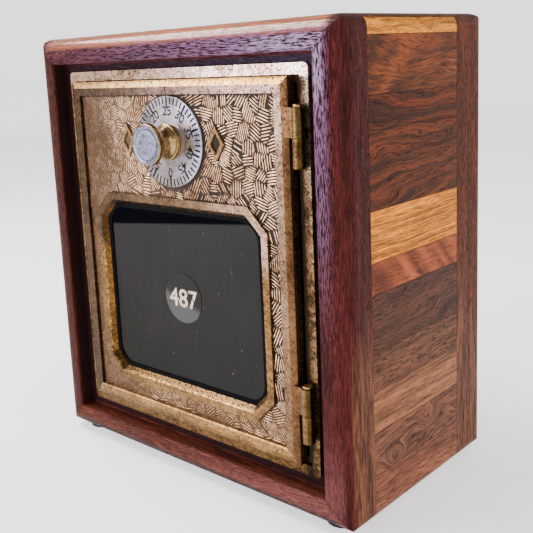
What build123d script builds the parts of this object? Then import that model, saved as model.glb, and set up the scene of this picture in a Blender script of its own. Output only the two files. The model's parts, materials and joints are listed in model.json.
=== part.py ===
"""Post office box bank: a laminated wooden money box behind a brass combination door.

Sizes are in millimetres. +Z is up, the door faces -Y, and +X is to the right as seen from
the front. The origin lies on the surface that the feet rest on, under the middle of the whole
object, which reaches from the front of the knob to the back of the case.
"""

import os
from math import asin, degrees

from build123d import *

# Wooden case
case_width = 166.0
case_height = 183.0
case_depth = 99.0
wall = 18.0
front_edging = 16.0
back_edging = 22.5
front_round = 8.0
back_round = 6.0
corner_round = 5.0
inner_arris = 1.0
land = 11.5
rebate_depth = 6.8
foot_radius = 6.35
foot_height = 1.6
foot_inset = 12.0

# Coin slot through the middle of the top
slot_length = 38.0
slot_width = 5.0

# Back panel and its screws
panel_thickness = 6.0
panel_lap = 8.0
panel_gap = 0.25
panel_inset = 1.0
panel_screw_length = 15.0
panel_screw_radius = 1.5
panel_screw_head = 2.8
panel_screw_spread_side = 45.0
panel_screw_spread_top = 35.0

# Brass door frame
sleeve_gap_side = 1.0
sleeve_gap_top = 0.5
sleeve_wall = 1.6
sleeve_depth = 24.0
flange_lap_side = 1.2
flange_lap_top = 2.5
flange_thickness = 1.6
flange_corner = 2.0
frame_rise = 0.4
aperture_neck_side = 1.5
aperture_neck_top = 1.0
ledge_width = 2.5
ledge_thickness = 1.6
strike_reach = 5.0
strike_height = 16.0
frame_screw_head = 3.0
frame_screw_head_height = 1.4
frame_screw_radius = 1.4
frame_screw_length = 12.0
frame_screw_depth = 12.6
frame_screw_offset = 32.0

# Door plate
latch_gap = 0.7
hinge_gap = 3.3
end_gap = 0.4
seat_gap = 0.3
door_proud = 3.5
door_thickness = 4.9
bevel_width = 2.6
bevel_depth = 1.0
border = 3.1
field_depth = 1.3
window_side_margin = 11.2
window_bottom_margin = 12.3
dial_zone = 46.9
rim_chamfer = 9.3
rim_width = 3.0
rim_bevel = 2.1
rim_bevel_depth = 2.4
ornament_spacing = 25.2
ornament_width = 9.0
ornament_height = 14.0
ornament_depth = 0.9
ornament_stroke = 1.7
ornament_edge = 0.4
index_width = 0.5
index_depth = 0.3

# Hinges
knuckle_radius = 2.35
knuckle_length = 10.5
knuckle_gap = 0.15
knuckle_offset = 1.1
knuckle_flange_gap = 0.35
hinge_spacing = 101.0
pin_radius = 1.2
pin_head_radius = 1.8
pin_head_height = 1.0
running_gap = 0.05

# Window
glass_set_back = 3.2
glass_thickness = 2.4
glass_lap = 2.4
glass_gap = 0.2
bead_width = 1.6
bead_thickness = 0.6
bead_round = 8.0
decal_radius = 10.5
decal_thickness = 0.2
retainer_lap = 4.0
retainer_lip = 1.2
retainer_screw_radius = 1.0
retainer_screw_head = 1.8
retainer_screw_head_height = 0.9
retainer_screw_bite = 1.6

# Dial, knob and spindle
dial_drop = 24.2
dial_radius = 18.3
dial_thickness = 0.9
dial_gap = 0.1
dial_edge = 0.4
knob_height = 12.1
knob_head_radius = 8.25
knob_head_thickness = 2.3
knob_waist_radius = 5.4
knob_flare_radius = 6.8
knob_bore_depth = 8.0
knob_base_radius = 7.2
knob_base_thickness = 1.9
cap_radius = 7.75
cap_thickness = 0.5
spindle_radius = 2.5
spindle_play = 0.08

# Lock case
sheet = 1.2
lock_setback = 3.5
lock_right_reach = 18.2
lock_above = 19.2
lock_below = 18.8
boss_radius = 2.6
boss_merge = 0.4
lock_screw_radius = 1.1
lock_screw_head = 2.2
lock_screw_head_height = 1.2
lock_screw_bite = 2.4
case_screw_left_inset = 16.0
case_screw_right_inset = 5.9
case_screw_rise = 10.5
cover_gap = 1.8

# Combination wheels on their post
post_radius = 4.0
post_flange_radius = 7.0
post_flange = 1.0
wheel_radius = 12.0
wheel_thickness = 1.8
wheel_side_gap = 0.05
spacer_radius = 5.5
spacer_thickness = 1.1
gate_width = 4.0
gate_depth = 3.0
fly_circle = 8.0
fly_radius = 0.8
fly_gap = 0.1
fly_end_gap = 0.4
gate_angles = (64.0, 152.0, -96.0)
fly_angles = (238.0, 318.0, 22.0)
notch_angle = 128.0
cam_radius = 12.3
cam_thickness = 2.2
cam_step = 0.75
nut_radius = 4.2
nut_thickness = 2.2
spindle_tail = 0.4

# Spring latch and fence lever
bolt_clearance = 0.4
bolt_height = 10.0
bolt_thickness = 6.0
bolt_engagement = 4.0
bolt_throw = 5.5
bolt_nose = 12.0
bolt_bevel = 5.5
bolt_lip = 1.5
bolt_guide_gap = 0.15
tail_wheel_gap = 4.8
tail_end_gap = 0.6
carrier_width = 12.0
carrier_height = 17.0
lever_thickness = 2.0
lever_gap = 0.1
lever_bar = 3.0
lever_rim_gap = 0.3
lever_eye_radius = 3.0
lever_overhang = 4.0
pivot_radius = 1.5
pivot_head_radius = 2.6
pivot_head_height = 1.1
fence_width = 3.0
fence_height = 2.5
fence_wheel_gap = 0.4
spring_radius = 2.6
spring_bore = 2.0
lug_thickness = 2.0
lug_height = 8.0
stub_length = 4.0
coil_radius = 2.3
coil_length = 1.2
wire = 0.6
wire_gap = 0.05
leg_reach = 8.0
leg_drop = 7.0

# Strips of the four walls, each as a wood and a relative width that is stretched to the wall
right_strips = [
    ("plum", 18.0), ("knotted", 16.3), ("honey", 15.7), ("flecked", 14.7), ("grey", 21.3),
    ("cherry", 11.6), ("ash", 18.4), ("streaked", 28.0), ("smoky", 11.8), ("figured", 20.0),
    ("oak", 7.2),
]
left_strips = [
    ("walnut", 22.0), ("cherry", 15.0), ("walnut", 26.0), ("oak", 12.0), ("walnut", 19.0),
    ("cherry", 20.0), ("walnut", 24.0), ("oak", 16.0), ("walnut", 29.0),
]
top_strips = [
    ("walnut", 25.0), ("oak", 14.0), ("walnut", 21.0), ("cherry", 46.0), ("walnut", 18.0),
    ("oak", 17.0), ("walnut", 25.0),
]
bottom_strips = [
    ("walnut", 31.0), ("cherry", 18.0), ("walnut", 27.0), ("oak", 15.0), ("walnut", 33.0),
    ("cherry", 16.0), ("walnut", 26.0),
]

# Planes and lines that the pieces share
field_set_back = rebate_depth - flange_thickness - door_proud + field_depth
knob_proud = dial_gap + dial_thickness + knob_height - field_set_back
front = knob_proud - (case_depth + knob_proud) / 2
back = front + case_depth
case_y = (front + back) / 2
case_bottom = foot_height
case_top = foot_height + case_height
case_middle = foot_height + case_height / 2
core_front = front + front_edging
core_back = back - back_edging
opening_width = case_width - 2 * wall
opening_height = case_height - 2 * wall

frame_z = case_middle + frame_rise
shoulder = front + rebate_depth
flange_front = shoulder - flange_thickness
flange_width = opening_width + 2 * flange_lap_side
flange_height = opening_height + 2 * flange_lap_top
sleeve_width = opening_width - 2 * sleeve_gap_side
sleeve_height = opening_height - 2 * sleeve_gap_top
sleeve_back = shoulder + sleeve_depth
aperture_width = sleeve_width - 2 * aperture_neck_side
aperture_height = sleeve_height - 2 * aperture_neck_top
aperture_left = -aperture_width / 2
aperture_right = aperture_width / 2

door_face = flange_front - door_proud
door_back = door_face + door_thickness
door_width = aperture_width - latch_gap - hinge_gap
door_height = aperture_height - 2 * end_gap
door_x = aperture_left + latch_gap + door_width / 2
door_top = frame_z + door_height / 2
field_plane = door_face + field_depth
field_width = door_width - 2 * (bevel_width + border)
field_height = door_height - 2 * (bevel_width + border)
ledge_front = door_back + seat_gap
ledge_back = ledge_front + ledge_thickness
strike_edge = aperture_left + strike_reach

hinge_x = aperture_right + knuckle_offset
hinge_y = flange_front - knuckle_radius - knuckle_flange_gap
hinge_levels = [frame_z - hinge_spacing / 2, frame_z + hinge_spacing / 2]

window_width = door_width - 2 * window_side_margin
window_height = door_height - dial_zone - window_bottom_margin
window_z = frame_z - door_height / 2 + window_bottom_margin + window_height / 2
throat_width = window_width - 2 * (rim_width + rim_bevel)
throat_height = window_height - 2 * (rim_width + rim_bevel)
glass_front = door_face + glass_set_back
glass_back = glass_front + glass_thickness
glass_width = throat_width + 2 * glass_lap
glass_height = throat_height + 2 * glass_lap

dial_z = door_top - dial_drop
dial_back = field_plane - dial_gap
dial_front = dial_back - dial_thickness
knob_front = dial_front - knob_height
dial_axis = Axis((door_x, 0, dial_z), (0, 1, 0))

lock_left = strike_edge + lock_setback
lock_right = door_x + lock_right_reach
lock_width = lock_right - lock_left
lock_height = lock_above + lock_below
lock_middle = (lock_left + lock_right) / 2
lock_z = dial_z + (lock_above - lock_below) / 2
lock_floor = door_back + sheet
boss_inset = sheet + boss_radius - boss_merge
first_wheel = lock_floor + post_flange + wheel_side_gap
wheel_pitch = wheel_thickness + spacer_thickness + 2 * wheel_side_gap
post_end = first_wheel + 3 * wheel_pitch - wheel_side_gap
cam_front = post_end + cam_step
cam_back = cam_front + cam_thickness
nut_back = cam_back + nut_thickness
cover_front = nut_back + cover_gap
cover_back = cover_front + sheet

bolt_front = ledge_back + bolt_clearance
bolt_back = bolt_front + bolt_thickness
bolt_tip = strike_edge - bolt_engagement + bolt_throw
lever_front = cam_front
tail_back = lever_front - lever_gap
tail_start = lock_left + sheet + bolt_throw + tail_end_gap
tail_end = door_x - wheel_radius - tail_wheel_gap
pivot_x = tail_end - carrier_width / 2
lever_bottom = dial_z + cam_radius + lever_rim_gap
lever_z = lever_bottom + lever_bar / 2
lever_back = lever_front + lever_thickness
fence_bottom = dial_z + wheel_radius + fence_wheel_gap
coil_front = lever_back + lever_gap
coil_back = coil_front + coil_length


def level(depth):
    """The plane at one depth, seen from the front: X to the right, Z up, extruding forwards."""
    return Plane.XZ.offset(-depth)


def octagon(width, height, leg):
    """A rectangle with its four corners cut off at 45 degrees."""
    half_w, half_h = width / 2, height / 2
    Polygon(
        (-half_w, -half_h + leg), (-half_w + leg, -half_h), (half_w - leg, -half_h),
        (half_w, -half_h + leg), (half_w, half_h - leg), (half_w - leg, half_h),
        (-half_w + leg, half_h), (-half_w, half_h - leg),
    )


def lozenge(inset, mode=Mode.ADD):
    """The ornament's lozenge, with its sides moved in by inset."""
    diagonal = (ornament_width ** 2 + ornament_height ** 2) ** 0.5
    half_w = ornament_width / 2 - inset * diagonal / ornament_height
    half_h = ornament_height / 2 - inset * diagonal / ornament_width
    Polygon((-half_w, 0), (0, -half_h), (half_w, 0), (0, half_h), mode=mode)


def inset_leg(leg, inset):
    """The leg of a 45 degree corner after its outline has moved in by inset."""
    return leg - inset * (2 - 2 ** 0.5)


def save(builder, name):
    """Label a finished piece and write it to its own file."""
    builder.part.label = name
    export_step(builder.part, "parts/" + name + ".step")


def mitred_wall(side):
    """The mitred outline of one wall, as a face in the sketch that is open."""
    outer_x, outer_low, outer_high = case_width / 2, case_bottom, case_top
    inner_x, inner_low, inner_high = outer_x - wall, outer_low + wall, outer_high - wall
    corners = {
        "left": [(-outer_x, outer_low), (-inner_x, inner_low),
                 (-inner_x, inner_high), (-outer_x, outer_high)],
        "right": [(outer_x, outer_low), (outer_x, outer_high),
                  (inner_x, inner_high), (inner_x, inner_low)],
        "bottom": [(-outer_x, outer_low), (outer_x, outer_low),
                   (inner_x, inner_low), (-inner_x, inner_low)],
        "top": [(-outer_x, outer_high), (-inner_x, inner_high),
                (inner_x, inner_high), (outer_x, outer_high)],
    }
    Polygon(*corners[side])


def long_edge(part, side, depth_index, outer):
    """A wall piece's straight edge at its first or last depth, on its outer or inner face."""
    run = Axis.Z if side in ("left", "right") else Axis.X
    across = Axis.X if side in ("left", "right") else Axis.Z
    edges = part.edges().filter_by(run).group_by(Axis.Y)[depth_index].sort_by(across)
    low_is_outer = side in ("left", "bottom")
    return edges[0] if low_is_outer == outer else edges[-1]


def ease_case_corners():
    """Cut the case's four long corners round, in the part that is open."""
    with BuildSketch(level(front)) as outline:
        with Locations((0, case_middle)):
            RectangleRounded(case_width, case_height, corner_round)
    extrude(outline.sketch, amount=-case_depth, mode=Mode.INTERSECT)


def strip_limits(strips, low, high):
    """Each strip's wood and its two ends, with the widths stretched to fill low to high."""
    total = sum(width for _, width in strips)
    limits = []
    start = low
    for wood, width in strips:
        end = start + width * (high - low) / total
        limits.append((wood, start, end))
        start = end
    return limits


def wall_strip(side, start, end):
    """One strip of a wall's core, which runs from the front edging to the back edging."""
    upright = side in ("left", "right")
    size = (2 * case_width, end - start) if upright else (end - start, 4 * case_height)
    centre = (0, (start + end) / 2) if upright else ((start + end) / 2, 0)
    with BuildSketch(level(core_front)) as section:
        mitred_wall(side)
        with Locations(centre):
            Rectangle(*size, mode=Mode.INTERSECT)
    extrude(section.sketch, amount=core_front - core_back)


def facing_back(x, depth, z):
    """A plane at one spot whose face looks backwards."""
    return Plane(origin=(x, depth, z), x_dir=(1, 0, 0), z_dir=(0, 1, 0))


def cut_coin_slot():
    """The coin slot, cut down through the top wall."""
    with BuildSketch(Plane.XY.offset(case_top)) as slot:
        with Locations((0, case_y)):
            SlotOverall(slot_length, slot_width)
    extrude(slot.sketch, amount=-wall, mode=Mode.SUBTRACT)


def round_head_screw(place, head, head_height, shank, length):
    """A slotted screw whose head stands on the plane's face and whose shank goes below it."""
    with Locations(place):
        Cylinder(head, head_height, align=(Align.CENTER, Align.CENTER, Align.MIN))
        Cylinder(shank, length, align=(Align.CENTER, Align.CENTER, Align.MAX))
    with Locations(place.offset(head_height)):
        Box(3 * head, head / 4, head_height, mode=Mode.SUBTRACT)


def countersunk_screw(place, head, sink, shank, length):
    """A slotted screw whose conical head is sunk level with the plane's face."""
    with Locations(place):
        Cone(shank, head, sink, align=(Align.CENTER, Align.CENTER, Align.MAX))
        Cylinder(shank, length, align=(Align.CENTER, Align.CENTER, Align.MAX))
        Box(3 * head, head / 4, sink / 2, mode=Mode.SUBTRACT)


# Screws of the back panel, two along each side of the case
panel_width = opening_width + 2 * panel_lap - 2 * panel_gap
panel_height = opening_height + 2 * panel_lap - 2 * panel_gap
panel_back = back - panel_inset
panel_front = panel_back - panel_thickness
panel_screw_sink = panel_screw_head - panel_screw_radius
panel_screw_x = opening_width / 2 + panel_lap / 2
panel_screw_z = opening_height / 2 + panel_lap / 2
panel_screw_spots = [
    (side * panel_screw_x, case_middle + rise * panel_screw_spread_side)
    for side in (-1, 1)
    for rise in (-1, 1)
] + [
    (side * panel_screw_spread_top, case_middle + rise * panel_screw_z)
    for side in (-1, 1)
    for rise in (-1, 1)
]
panel_screw_planes = [facing_back(x, panel_back, z) for x, z in panel_screw_spots]

# Screws of the door frame, two through each side of its sleeve
sleeve_inside = sleeve_width / 2 - sleeve_wall
frame_screw_y = shoulder + frame_screw_depth - rebate_depth
frame_screw_planes = [
    Plane(
        origin=(side * sleeve_inside, frame_screw_y, frame_z + rise),
        x_dir=(0, 1, 0),
        z_dir=(-side, 0, 0),
    )
    for side in (-1, 1)
    for rise in (-frame_screw_offset, frame_screw_offset)
]


# Screws of the glass retainer, two along each side of the window
retainer_width = glass_width + 2 * retainer_lap
retainer_height = glass_height + 2 * retainer_lap
retainer_back = glass_back + retainer_lip
retainer_screw_length = retainer_back - door_back + retainer_screw_bite
retainer_screw_x = glass_width / 2 + retainer_lap / 2
retainer_screw_planes = [
    facing_back(door_x + x * retainer_screw_x, retainer_back, window_z + z * glass_height / 4)
    for x in (-1, 1)
    for z in (-1, 1)
]

# Screws that hold the lock case to the door, and its cover to the corner bosses
case_screw_planes = [
    facing_back(x, lock_floor, dial_z + rise)
    for x in (lock_left + case_screw_left_inset, lock_right - case_screw_right_inset)
    for rise in (-case_screw_rise, case_screw_rise)
]
cover_screw_planes = [
    facing_back(
        lock_middle + x * (lock_width / 2 - boss_inset),
        cover_back,
        lock_z + z * (lock_height / 2 - boss_inset),
    )
    for x in (-1, 1)
    for z in (-1, 1)
]


def cut_screw_holes(planes, radius, length):
    """Holes for screws that stand on the given planes."""
    with Locations(*planes):
        Cylinder(
            radius,
            length,
            align=(Align.CENTER, Align.CENTER, Align.MAX),
            mode=Mode.SUBTRACT,
        )


os.makedirs("parts", exist_ok=True)

# Front edging: four mitred lengths, rounded outside, with a rebate for the door frame's flange
for side in ("left", "right", "top", "bottom"):
    with BuildPart() as edging:
        with BuildSketch(level(front)):
            mitred_wall(side)
        extrude(amount=-front_edging)
        fillet(long_edge(edging, side, 0, True), front_round)
        with BuildSketch(level(front)):
            with Locations((0, case_middle)):
                Rectangle(case_width - 2 * land, case_height - 2 * land)
        extrude(amount=-rebate_depth, mode=Mode.SUBTRACT)
        fillet(long_edge(edging, side, 0, False), inner_arris)
        ease_case_corners()
        cut_screw_holes(frame_screw_planes, frame_screw_radius, frame_screw_length)
    save(edging, "front_edging_" + side)

# Back edging: the same four walls behind the strips, with a rebate for the back panel
for side in ("left", "right", "top", "bottom"):
    with BuildPart() as edging:
        with BuildSketch(level(core_back)):
            mitred_wall(side)
        extrude(amount=-back_edging)
        fillet(long_edge(edging, side, -1, True), back_round)
        with BuildSketch(level(back)):
            with Locations((0, case_middle)):
                Rectangle(opening_width + 2 * panel_lap, opening_height + 2 * panel_lap)
        extrude(amount=panel_thickness + panel_inset, mode=Mode.SUBTRACT)
        ease_case_corners()
        cut_screw_holes(panel_screw_planes, panel_screw_radius, panel_screw_length)
    save(edging, "back_edging_" + side)

# Right wall: eleven strips of different woods, each its own piece
for number, (wood, start, end) in enumerate(strip_limits(right_strips, case_bottom, case_top)):
    with BuildPart() as strip:
        wall_strip("right", start, end)
        ease_case_corners()
    save(strip, "right_strip_" + str(len(right_strips) - number) + "_" + wood)

# The other three walls, with the strips of one wood kept together
for side, strips in (("left", left_strips), ("top", top_strips), ("bottom", bottom_strips)):
    upright = side == "left"
    low = case_bottom if upright else -case_width / 2
    high = case_top if upright else case_width / 2
    for kept_wood in ("walnut", "cherry", "oak"):
        with BuildPart() as group:
            for wood, start, end in strip_limits(strips, low, high):
                if wood == kept_wood:
                    wall_strip(side, start, end)
            ease_case_corners()
            if side == "top":
                cut_coin_slot()
        save(group, side + "_" + kept_wood + "_strips")

# Back panel, let into the back edging
with BuildPart() as back_panel:
    with BuildSketch(level(panel_front)):
        with Locations((0, case_middle)):
            Rectangle(panel_width, panel_height)
    extrude(amount=-panel_thickness)
    for place in panel_screw_planes:
        with Locations(place):
            CounterSinkHole(panel_screw_radius, panel_screw_head, counter_sink_angle=90)
save(back_panel, "back_panel")

with BuildPart() as back_screws:
    for place in panel_screw_planes:
        countersunk_screw(
            place,
            panel_screw_head,
            panel_screw_sink,
            panel_screw_radius,
            panel_screw_length,
        )
save(back_screws, "back_screws")

# Four round bumper feet under the corners
with BuildPart() as feet:
    with BuildSketch(Plane.XY):
        with Locations((0, case_y)):
            with GridLocations(case_width - 2 * foot_inset, case_depth - 2 * foot_inset, 2, 2):
                Circle(foot_radius)
    extrude(amount=foot_height)
    fillet(feet.edges().group_by(Axis.Z)[0], foot_height / 4)
save(feet, "feet")

# Door frame: flange, sleeve, the ledge that the door shuts against, and its hinge knuckles
with BuildPart() as door_frame:
    with BuildSketch(level(flange_front)):
        with Locations((0, frame_z)):
            RectangleRounded(flange_width, flange_height, flange_corner)
    extrude(amount=-flange_thickness)
    with BuildSketch(level(shoulder)):
        with Locations((0, frame_z)):
            Rectangle(sleeve_width, sleeve_height)
    extrude(amount=-sleeve_depth)
    with BuildSketch(level(flange_front)):
        with Locations((0, frame_z)):
            Rectangle(aperture_width, aperture_height)
    extrude(amount=flange_front - ledge_front, mode=Mode.SUBTRACT)
    with BuildSketch(level(ledge_front)):
        with Locations((0, frame_z)):
            Rectangle(aperture_width - 2 * ledge_width, aperture_height - 2 * ledge_width)
        with Locations((aperture_left, dial_z)):
            Rectangle(2 * strike_reach, strike_height, mode=Mode.SUBTRACT)
    extrude(amount=-ledge_thickness, mode=Mode.SUBTRACT)
    with BuildSketch(level(ledge_back)):
        with Locations((0, frame_z)):
            Rectangle(sleeve_width - 2 * sleeve_wall, sleeve_height - 2 * sleeve_wall)
    extrude(amount=ledge_back - sleeve_back, mode=Mode.SUBTRACT)
    for middle in hinge_levels:
        with BuildSketch(Plane.XY.offset(middle - knuckle_length)):
            with Locations((hinge_x, hinge_y)):
                Circle(knuckle_radius)
            with Locations((hinge_x, hinge_y)):
                Rectangle(
                    2 * (hinge_x - aperture_right),
                    shoulder - hinge_y,
                    align=(Align.CENTER, Align.MIN),
                )
        extrude(amount=knuckle_length - knuckle_gap / 2)
        with Locations((hinge_x, hinge_y, middle - knuckle_length / 2)):
            Cylinder(pin_radius, 2 * knuckle_length, mode=Mode.SUBTRACT)
    cut_screw_holes(frame_screw_planes, frame_screw_radius, frame_screw_length)
save(door_frame, "door_frame")

with BuildPart() as frame_screws:
    for place in frame_screw_planes:
        round_head_screw(
            place,
            frame_screw_head,
            frame_screw_head_height,
            frame_screw_radius,
            frame_screw_length,
        )
save(frame_screws, "frame_screws")

# Hinge pins, held in the frame's lower knuckles, with a domed head above the door's knuckle
with BuildPart() as hinge_pins:
    for middle in hinge_levels:
        head_level = middle + knuckle_length + knuckle_gap
        with Locations((hinge_x, hinge_y, middle - knuckle_length)):
            Cylinder(
                pin_radius,
                head_level - middle + knuckle_length,
                align=(Align.CENTER, Align.CENTER, Align.MIN),
            )
        with Locations((hinge_x, hinge_y, head_level)):
            Cylinder(
                pin_head_radius, pin_head_height, align=(Align.CENTER, Align.CENTER, Align.MIN)
            )
    fillet(hinge_pins.faces().filter_by(Axis.Z).group_by(Axis.Z)[-1].edges(), pin_head_height / 2)
save(hinge_pins, "hinge_pins")

# Door plate: bevelled border, sunk field, raised window rim, and the door's upper knuckles
with BuildPart() as door_plate:
    with BuildSketch(level(door_back)):
        with Locations((door_x, frame_z)):
            Rectangle(door_width, door_height)
    extrude(amount=door_thickness - bevel_depth)
    with BuildSketch(level(door_face + bevel_depth)):
        with Locations((door_x, frame_z)):
            Rectangle(door_width, door_height)
    with BuildSketch(level(door_face)):
        with Locations((door_x, frame_z)):
            Rectangle(door_width - 2 * bevel_width, door_height - 2 * bevel_width)
    loft(ruled=True)
    with BuildSketch(level(door_face)):
        with Locations((door_x, frame_z)):
            Rectangle(field_width, field_height)
        with Locations((door_x, window_z)):
            octagon(window_width, window_height, rim_chamfer)
    extrude(amount=-field_depth, mode=Mode.SUBTRACT)
    with BuildSketch(level(door_face)):
        with Locations((door_x, window_z)):
            octagon(window_width, window_height, rim_chamfer)
    extrude(amount=-field_depth)
    # The window's sloping inner edge, the throat behind it, and the pocket for the glass
    inner_leg = inset_leg(rim_chamfer, rim_width)
    throat_leg = inset_leg(rim_chamfer, rim_width + rim_bevel)
    with BuildSketch(level(door_face)):
        with Locations((door_x, window_z)):
            octagon(window_width - 2 * rim_width, window_height - 2 * rim_width, inner_leg)
    with BuildSketch(level(door_face + rim_bevel_depth)):
        with Locations((door_x, window_z)):
            octagon(throat_width, throat_height, throat_leg)
    loft(ruled=True, mode=Mode.SUBTRACT)
    with BuildSketch(level(door_face + rim_bevel_depth)):
        with Locations((door_x, window_z)):
            octagon(throat_width, throat_height, throat_leg)
    extrude(amount=-door_thickness, mode=Mode.SUBTRACT)
    with BuildSketch(level(glass_front)):
        with Locations((door_x, window_z)):
            Rectangle(glass_width + 2 * glass_gap, glass_height + 2 * glass_gap)
    extrude(amount=-door_thickness, mode=Mode.SUBTRACT)
    # Raised open lozenges beside the dial, and the index line above it
    with BuildSketch(level(field_plane)):
        with Locations((door_x - ornament_spacing, dial_z), (door_x + ornament_spacing, dial_z)):
            lozenge(0)
            lozenge(ornament_stroke, mode=Mode.SUBTRACT)
    lozenges = extrude(amount=ornament_depth)
    chamfer(lozenges.faces().sort_by(Axis.Y)[:2].edges(), ornament_edge)
    with BuildSketch(level(door_face)):
        with Locations((door_x, door_top - bevel_width - border)):
            Rectangle(index_width, border, align=(Align.CENTER, Align.MIN))
    extrude(amount=-index_depth, mode=Mode.SUBTRACT)
    with Locations(Plane(origin=(door_x, door_back, dial_z), z_dir=(0, 1, 0))):
        Cylinder(spindle_radius + spindle_play, 2 * door_thickness, mode=Mode.SUBTRACT)
    cut_screw_holes(retainer_screw_planes, retainer_screw_radius, retainer_screw_length)
    cut_screw_holes(case_screw_planes, lock_screw_radius, sheet + lock_screw_bite)
    # Knuckles and the ears that carry them
    for middle in hinge_levels:
        with BuildSketch(Plane.XY.offset(middle + knuckle_gap / 2)):
            with Locations((hinge_x, hinge_y)):
                Circle(knuckle_radius)
                Rectangle(
                    hinge_x - door_x - door_width / 2 + knuckle_radius / 2,
                    knuckle_radius,
                    align=(Align.MAX, Align.CENTER),
                )
        extrude(amount=knuckle_length - knuckle_gap / 2)
        with Locations((hinge_x, hinge_y, middle + knuckle_length / 2)):
            Cylinder(pin_radius + running_gap, 2 * knuckle_length, mode=Mode.SUBTRACT)
save(door_plate, "door_plate")

# Glazing: pane, sealing bead, number disc and the frame that holds the pane from behind
with BuildPart() as window_glass:
    with BuildSketch(level(glass_front)):
        with Locations((door_x, window_z)):
            Rectangle(glass_width, glass_height)
    extrude(amount=-glass_thickness)
save(window_glass, "window_glass")

with BuildPart() as glazing_bead:
    with BuildSketch(level(glass_front)):
        with Locations((door_x, window_z)):
            octagon(throat_width, throat_height, throat_leg)
            RectangleRounded(
                throat_width - 2 * bead_width,
                throat_height - 2 * bead_width,
                bead_round,
                mode=Mode.SUBTRACT,
            )
    extrude(amount=bead_thickness)
save(glazing_bead, "glazing_bead")

with BuildPart() as number_disc:
    with BuildSketch(level(glass_front)):
        with Locations((door_x, window_z)):
            Circle(decal_radius)
    extrude(amount=decal_thickness)
save(number_disc, "number_disc")

with BuildPart() as glass_retainer:
    with BuildSketch(level(door_back)):
        with Locations((door_x, window_z)):
            Rectangle(retainer_width, retainer_height)
            Rectangle(
                glass_width + 2 * glass_gap, glass_height + 2 * glass_gap, mode=Mode.SUBTRACT
            )
    extrude(amount=door_back - glass_back)
    with BuildSketch(level(glass_back)):
        with Locations((door_x, window_z)):
            Rectangle(retainer_width, retainer_height)
            Rectangle(throat_width, throat_height, mode=Mode.SUBTRACT)
    extrude(amount=-retainer_lip)
    cut_screw_holes(retainer_screw_planes, retainer_screw_radius, retainer_back - door_back)
save(glass_retainer, "glass_retainer")

with BuildPart() as retainer_screws:
    for place in retainer_screw_planes:
        round_head_screw(
            place,
            retainer_screw_head,
            retainer_screw_head_height,
            retainer_screw_radius,
            retainer_screw_length,
        )
save(retainer_screws, "retainer_screws")

# Lock case: a shallow box with a boss for a cover screw in each corner
with BuildPart() as lock_case:
    with BuildSketch(level(door_back)):
        with Locations((lock_middle, lock_z)):
            Rectangle(lock_width, lock_height)
    extrude(amount=door_back - cover_front)
    with BuildSketch(level(lock_floor)):
        with Locations((lock_middle, lock_z)):
            Rectangle(lock_width - 2 * sheet, lock_height - 2 * sheet)
    extrude(amount=lock_floor - cover_front, mode=Mode.SUBTRACT)
    with BuildSketch(level(lock_floor)):
        with Locations(*[(place.origin.X, place.origin.Z) for place in cover_screw_planes]):
            Circle(boss_radius)
    extrude(amount=lock_floor - cover_front)
    cut_screw_holes(cover_screw_planes, lock_screw_radius, sheet + lock_screw_bite)
    cut_screw_holes(case_screw_planes, lock_screw_radius, sheet)
    with BuildSketch(level(door_back)):
        with Locations((door_x, dial_z)):
            Circle(spindle_radius + spindle_play)
    extrude(amount=-sheet, mode=Mode.SUBTRACT)
    # The window that the bolt slides through, and the lug and stub that its spring bears on
    with BuildSketch(Plane.YZ.offset(lock_left)):
        with Locations(((bolt_front + bolt_back) / 2, dial_z)):
            Rectangle(bolt_thickness + 2 * bolt_guide_gap, bolt_height + 2 * bolt_guide_gap)
    extrude(amount=sheet, mode=Mode.SUBTRACT)
    with BuildSketch(Plane.YZ.offset(tail_end)):
        with Locations((lock_floor, dial_z)):
            Rectangle(
                bolt_back - bolt_guide_gap - lock_floor,
                lug_height,
                align=(Align.MIN, Align.CENTER),
            )
    extrude(amount=lug_thickness)
    with BuildSketch(Plane.YZ.offset(tail_end)):
        with Locations(((bolt_front + bolt_back) / 2, dial_z)):
            Circle(spring_bore)
    extrude(amount=-stub_length)
save(lock_case, "lock_case")

with BuildPart() as lock_case_screws:
    for place in case_screw_planes:
        round_head_screw(
            place,
            lock_screw_head,
            lock_screw_head_height,
            lock_screw_radius,
            sheet + lock_screw_bite,
        )
save(lock_case_screws, "lock_case_screws")

with BuildPart() as lock_cover:
    with BuildSketch(level(cover_front)):
        with Locations((lock_middle, lock_z)):
            RectangleRounded(lock_width, lock_height, sheet)
    extrude(amount=-sheet)
    cut_screw_holes(cover_screw_planes, lock_screw_radius, sheet)
save(lock_cover, "lock_cover")

with BuildPart() as cover_screws:
    for place in cover_screw_planes:
        round_head_screw(
            place,
            lock_screw_head,
            lock_screw_head_height,
            lock_screw_radius,
            sheet + lock_screw_bite,
        )
save(cover_screws, "cover_screws")

# Dial, and the knob that is turned on the lathe with a waist and a broad rim
with BuildPart() as dial:
    with BuildSketch(level(dial_back)):
        with Locations((door_x, dial_z)):
            Circle(dial_radius)
            Circle(spindle_radius, mode=Mode.SUBTRACT)
    extrude(amount=dial_thickness)
    chamfer(dial.faces().sort_by(Axis.Y)[0].outer_wire().edges(), dial_edge)
save(dial, "dial")

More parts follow.
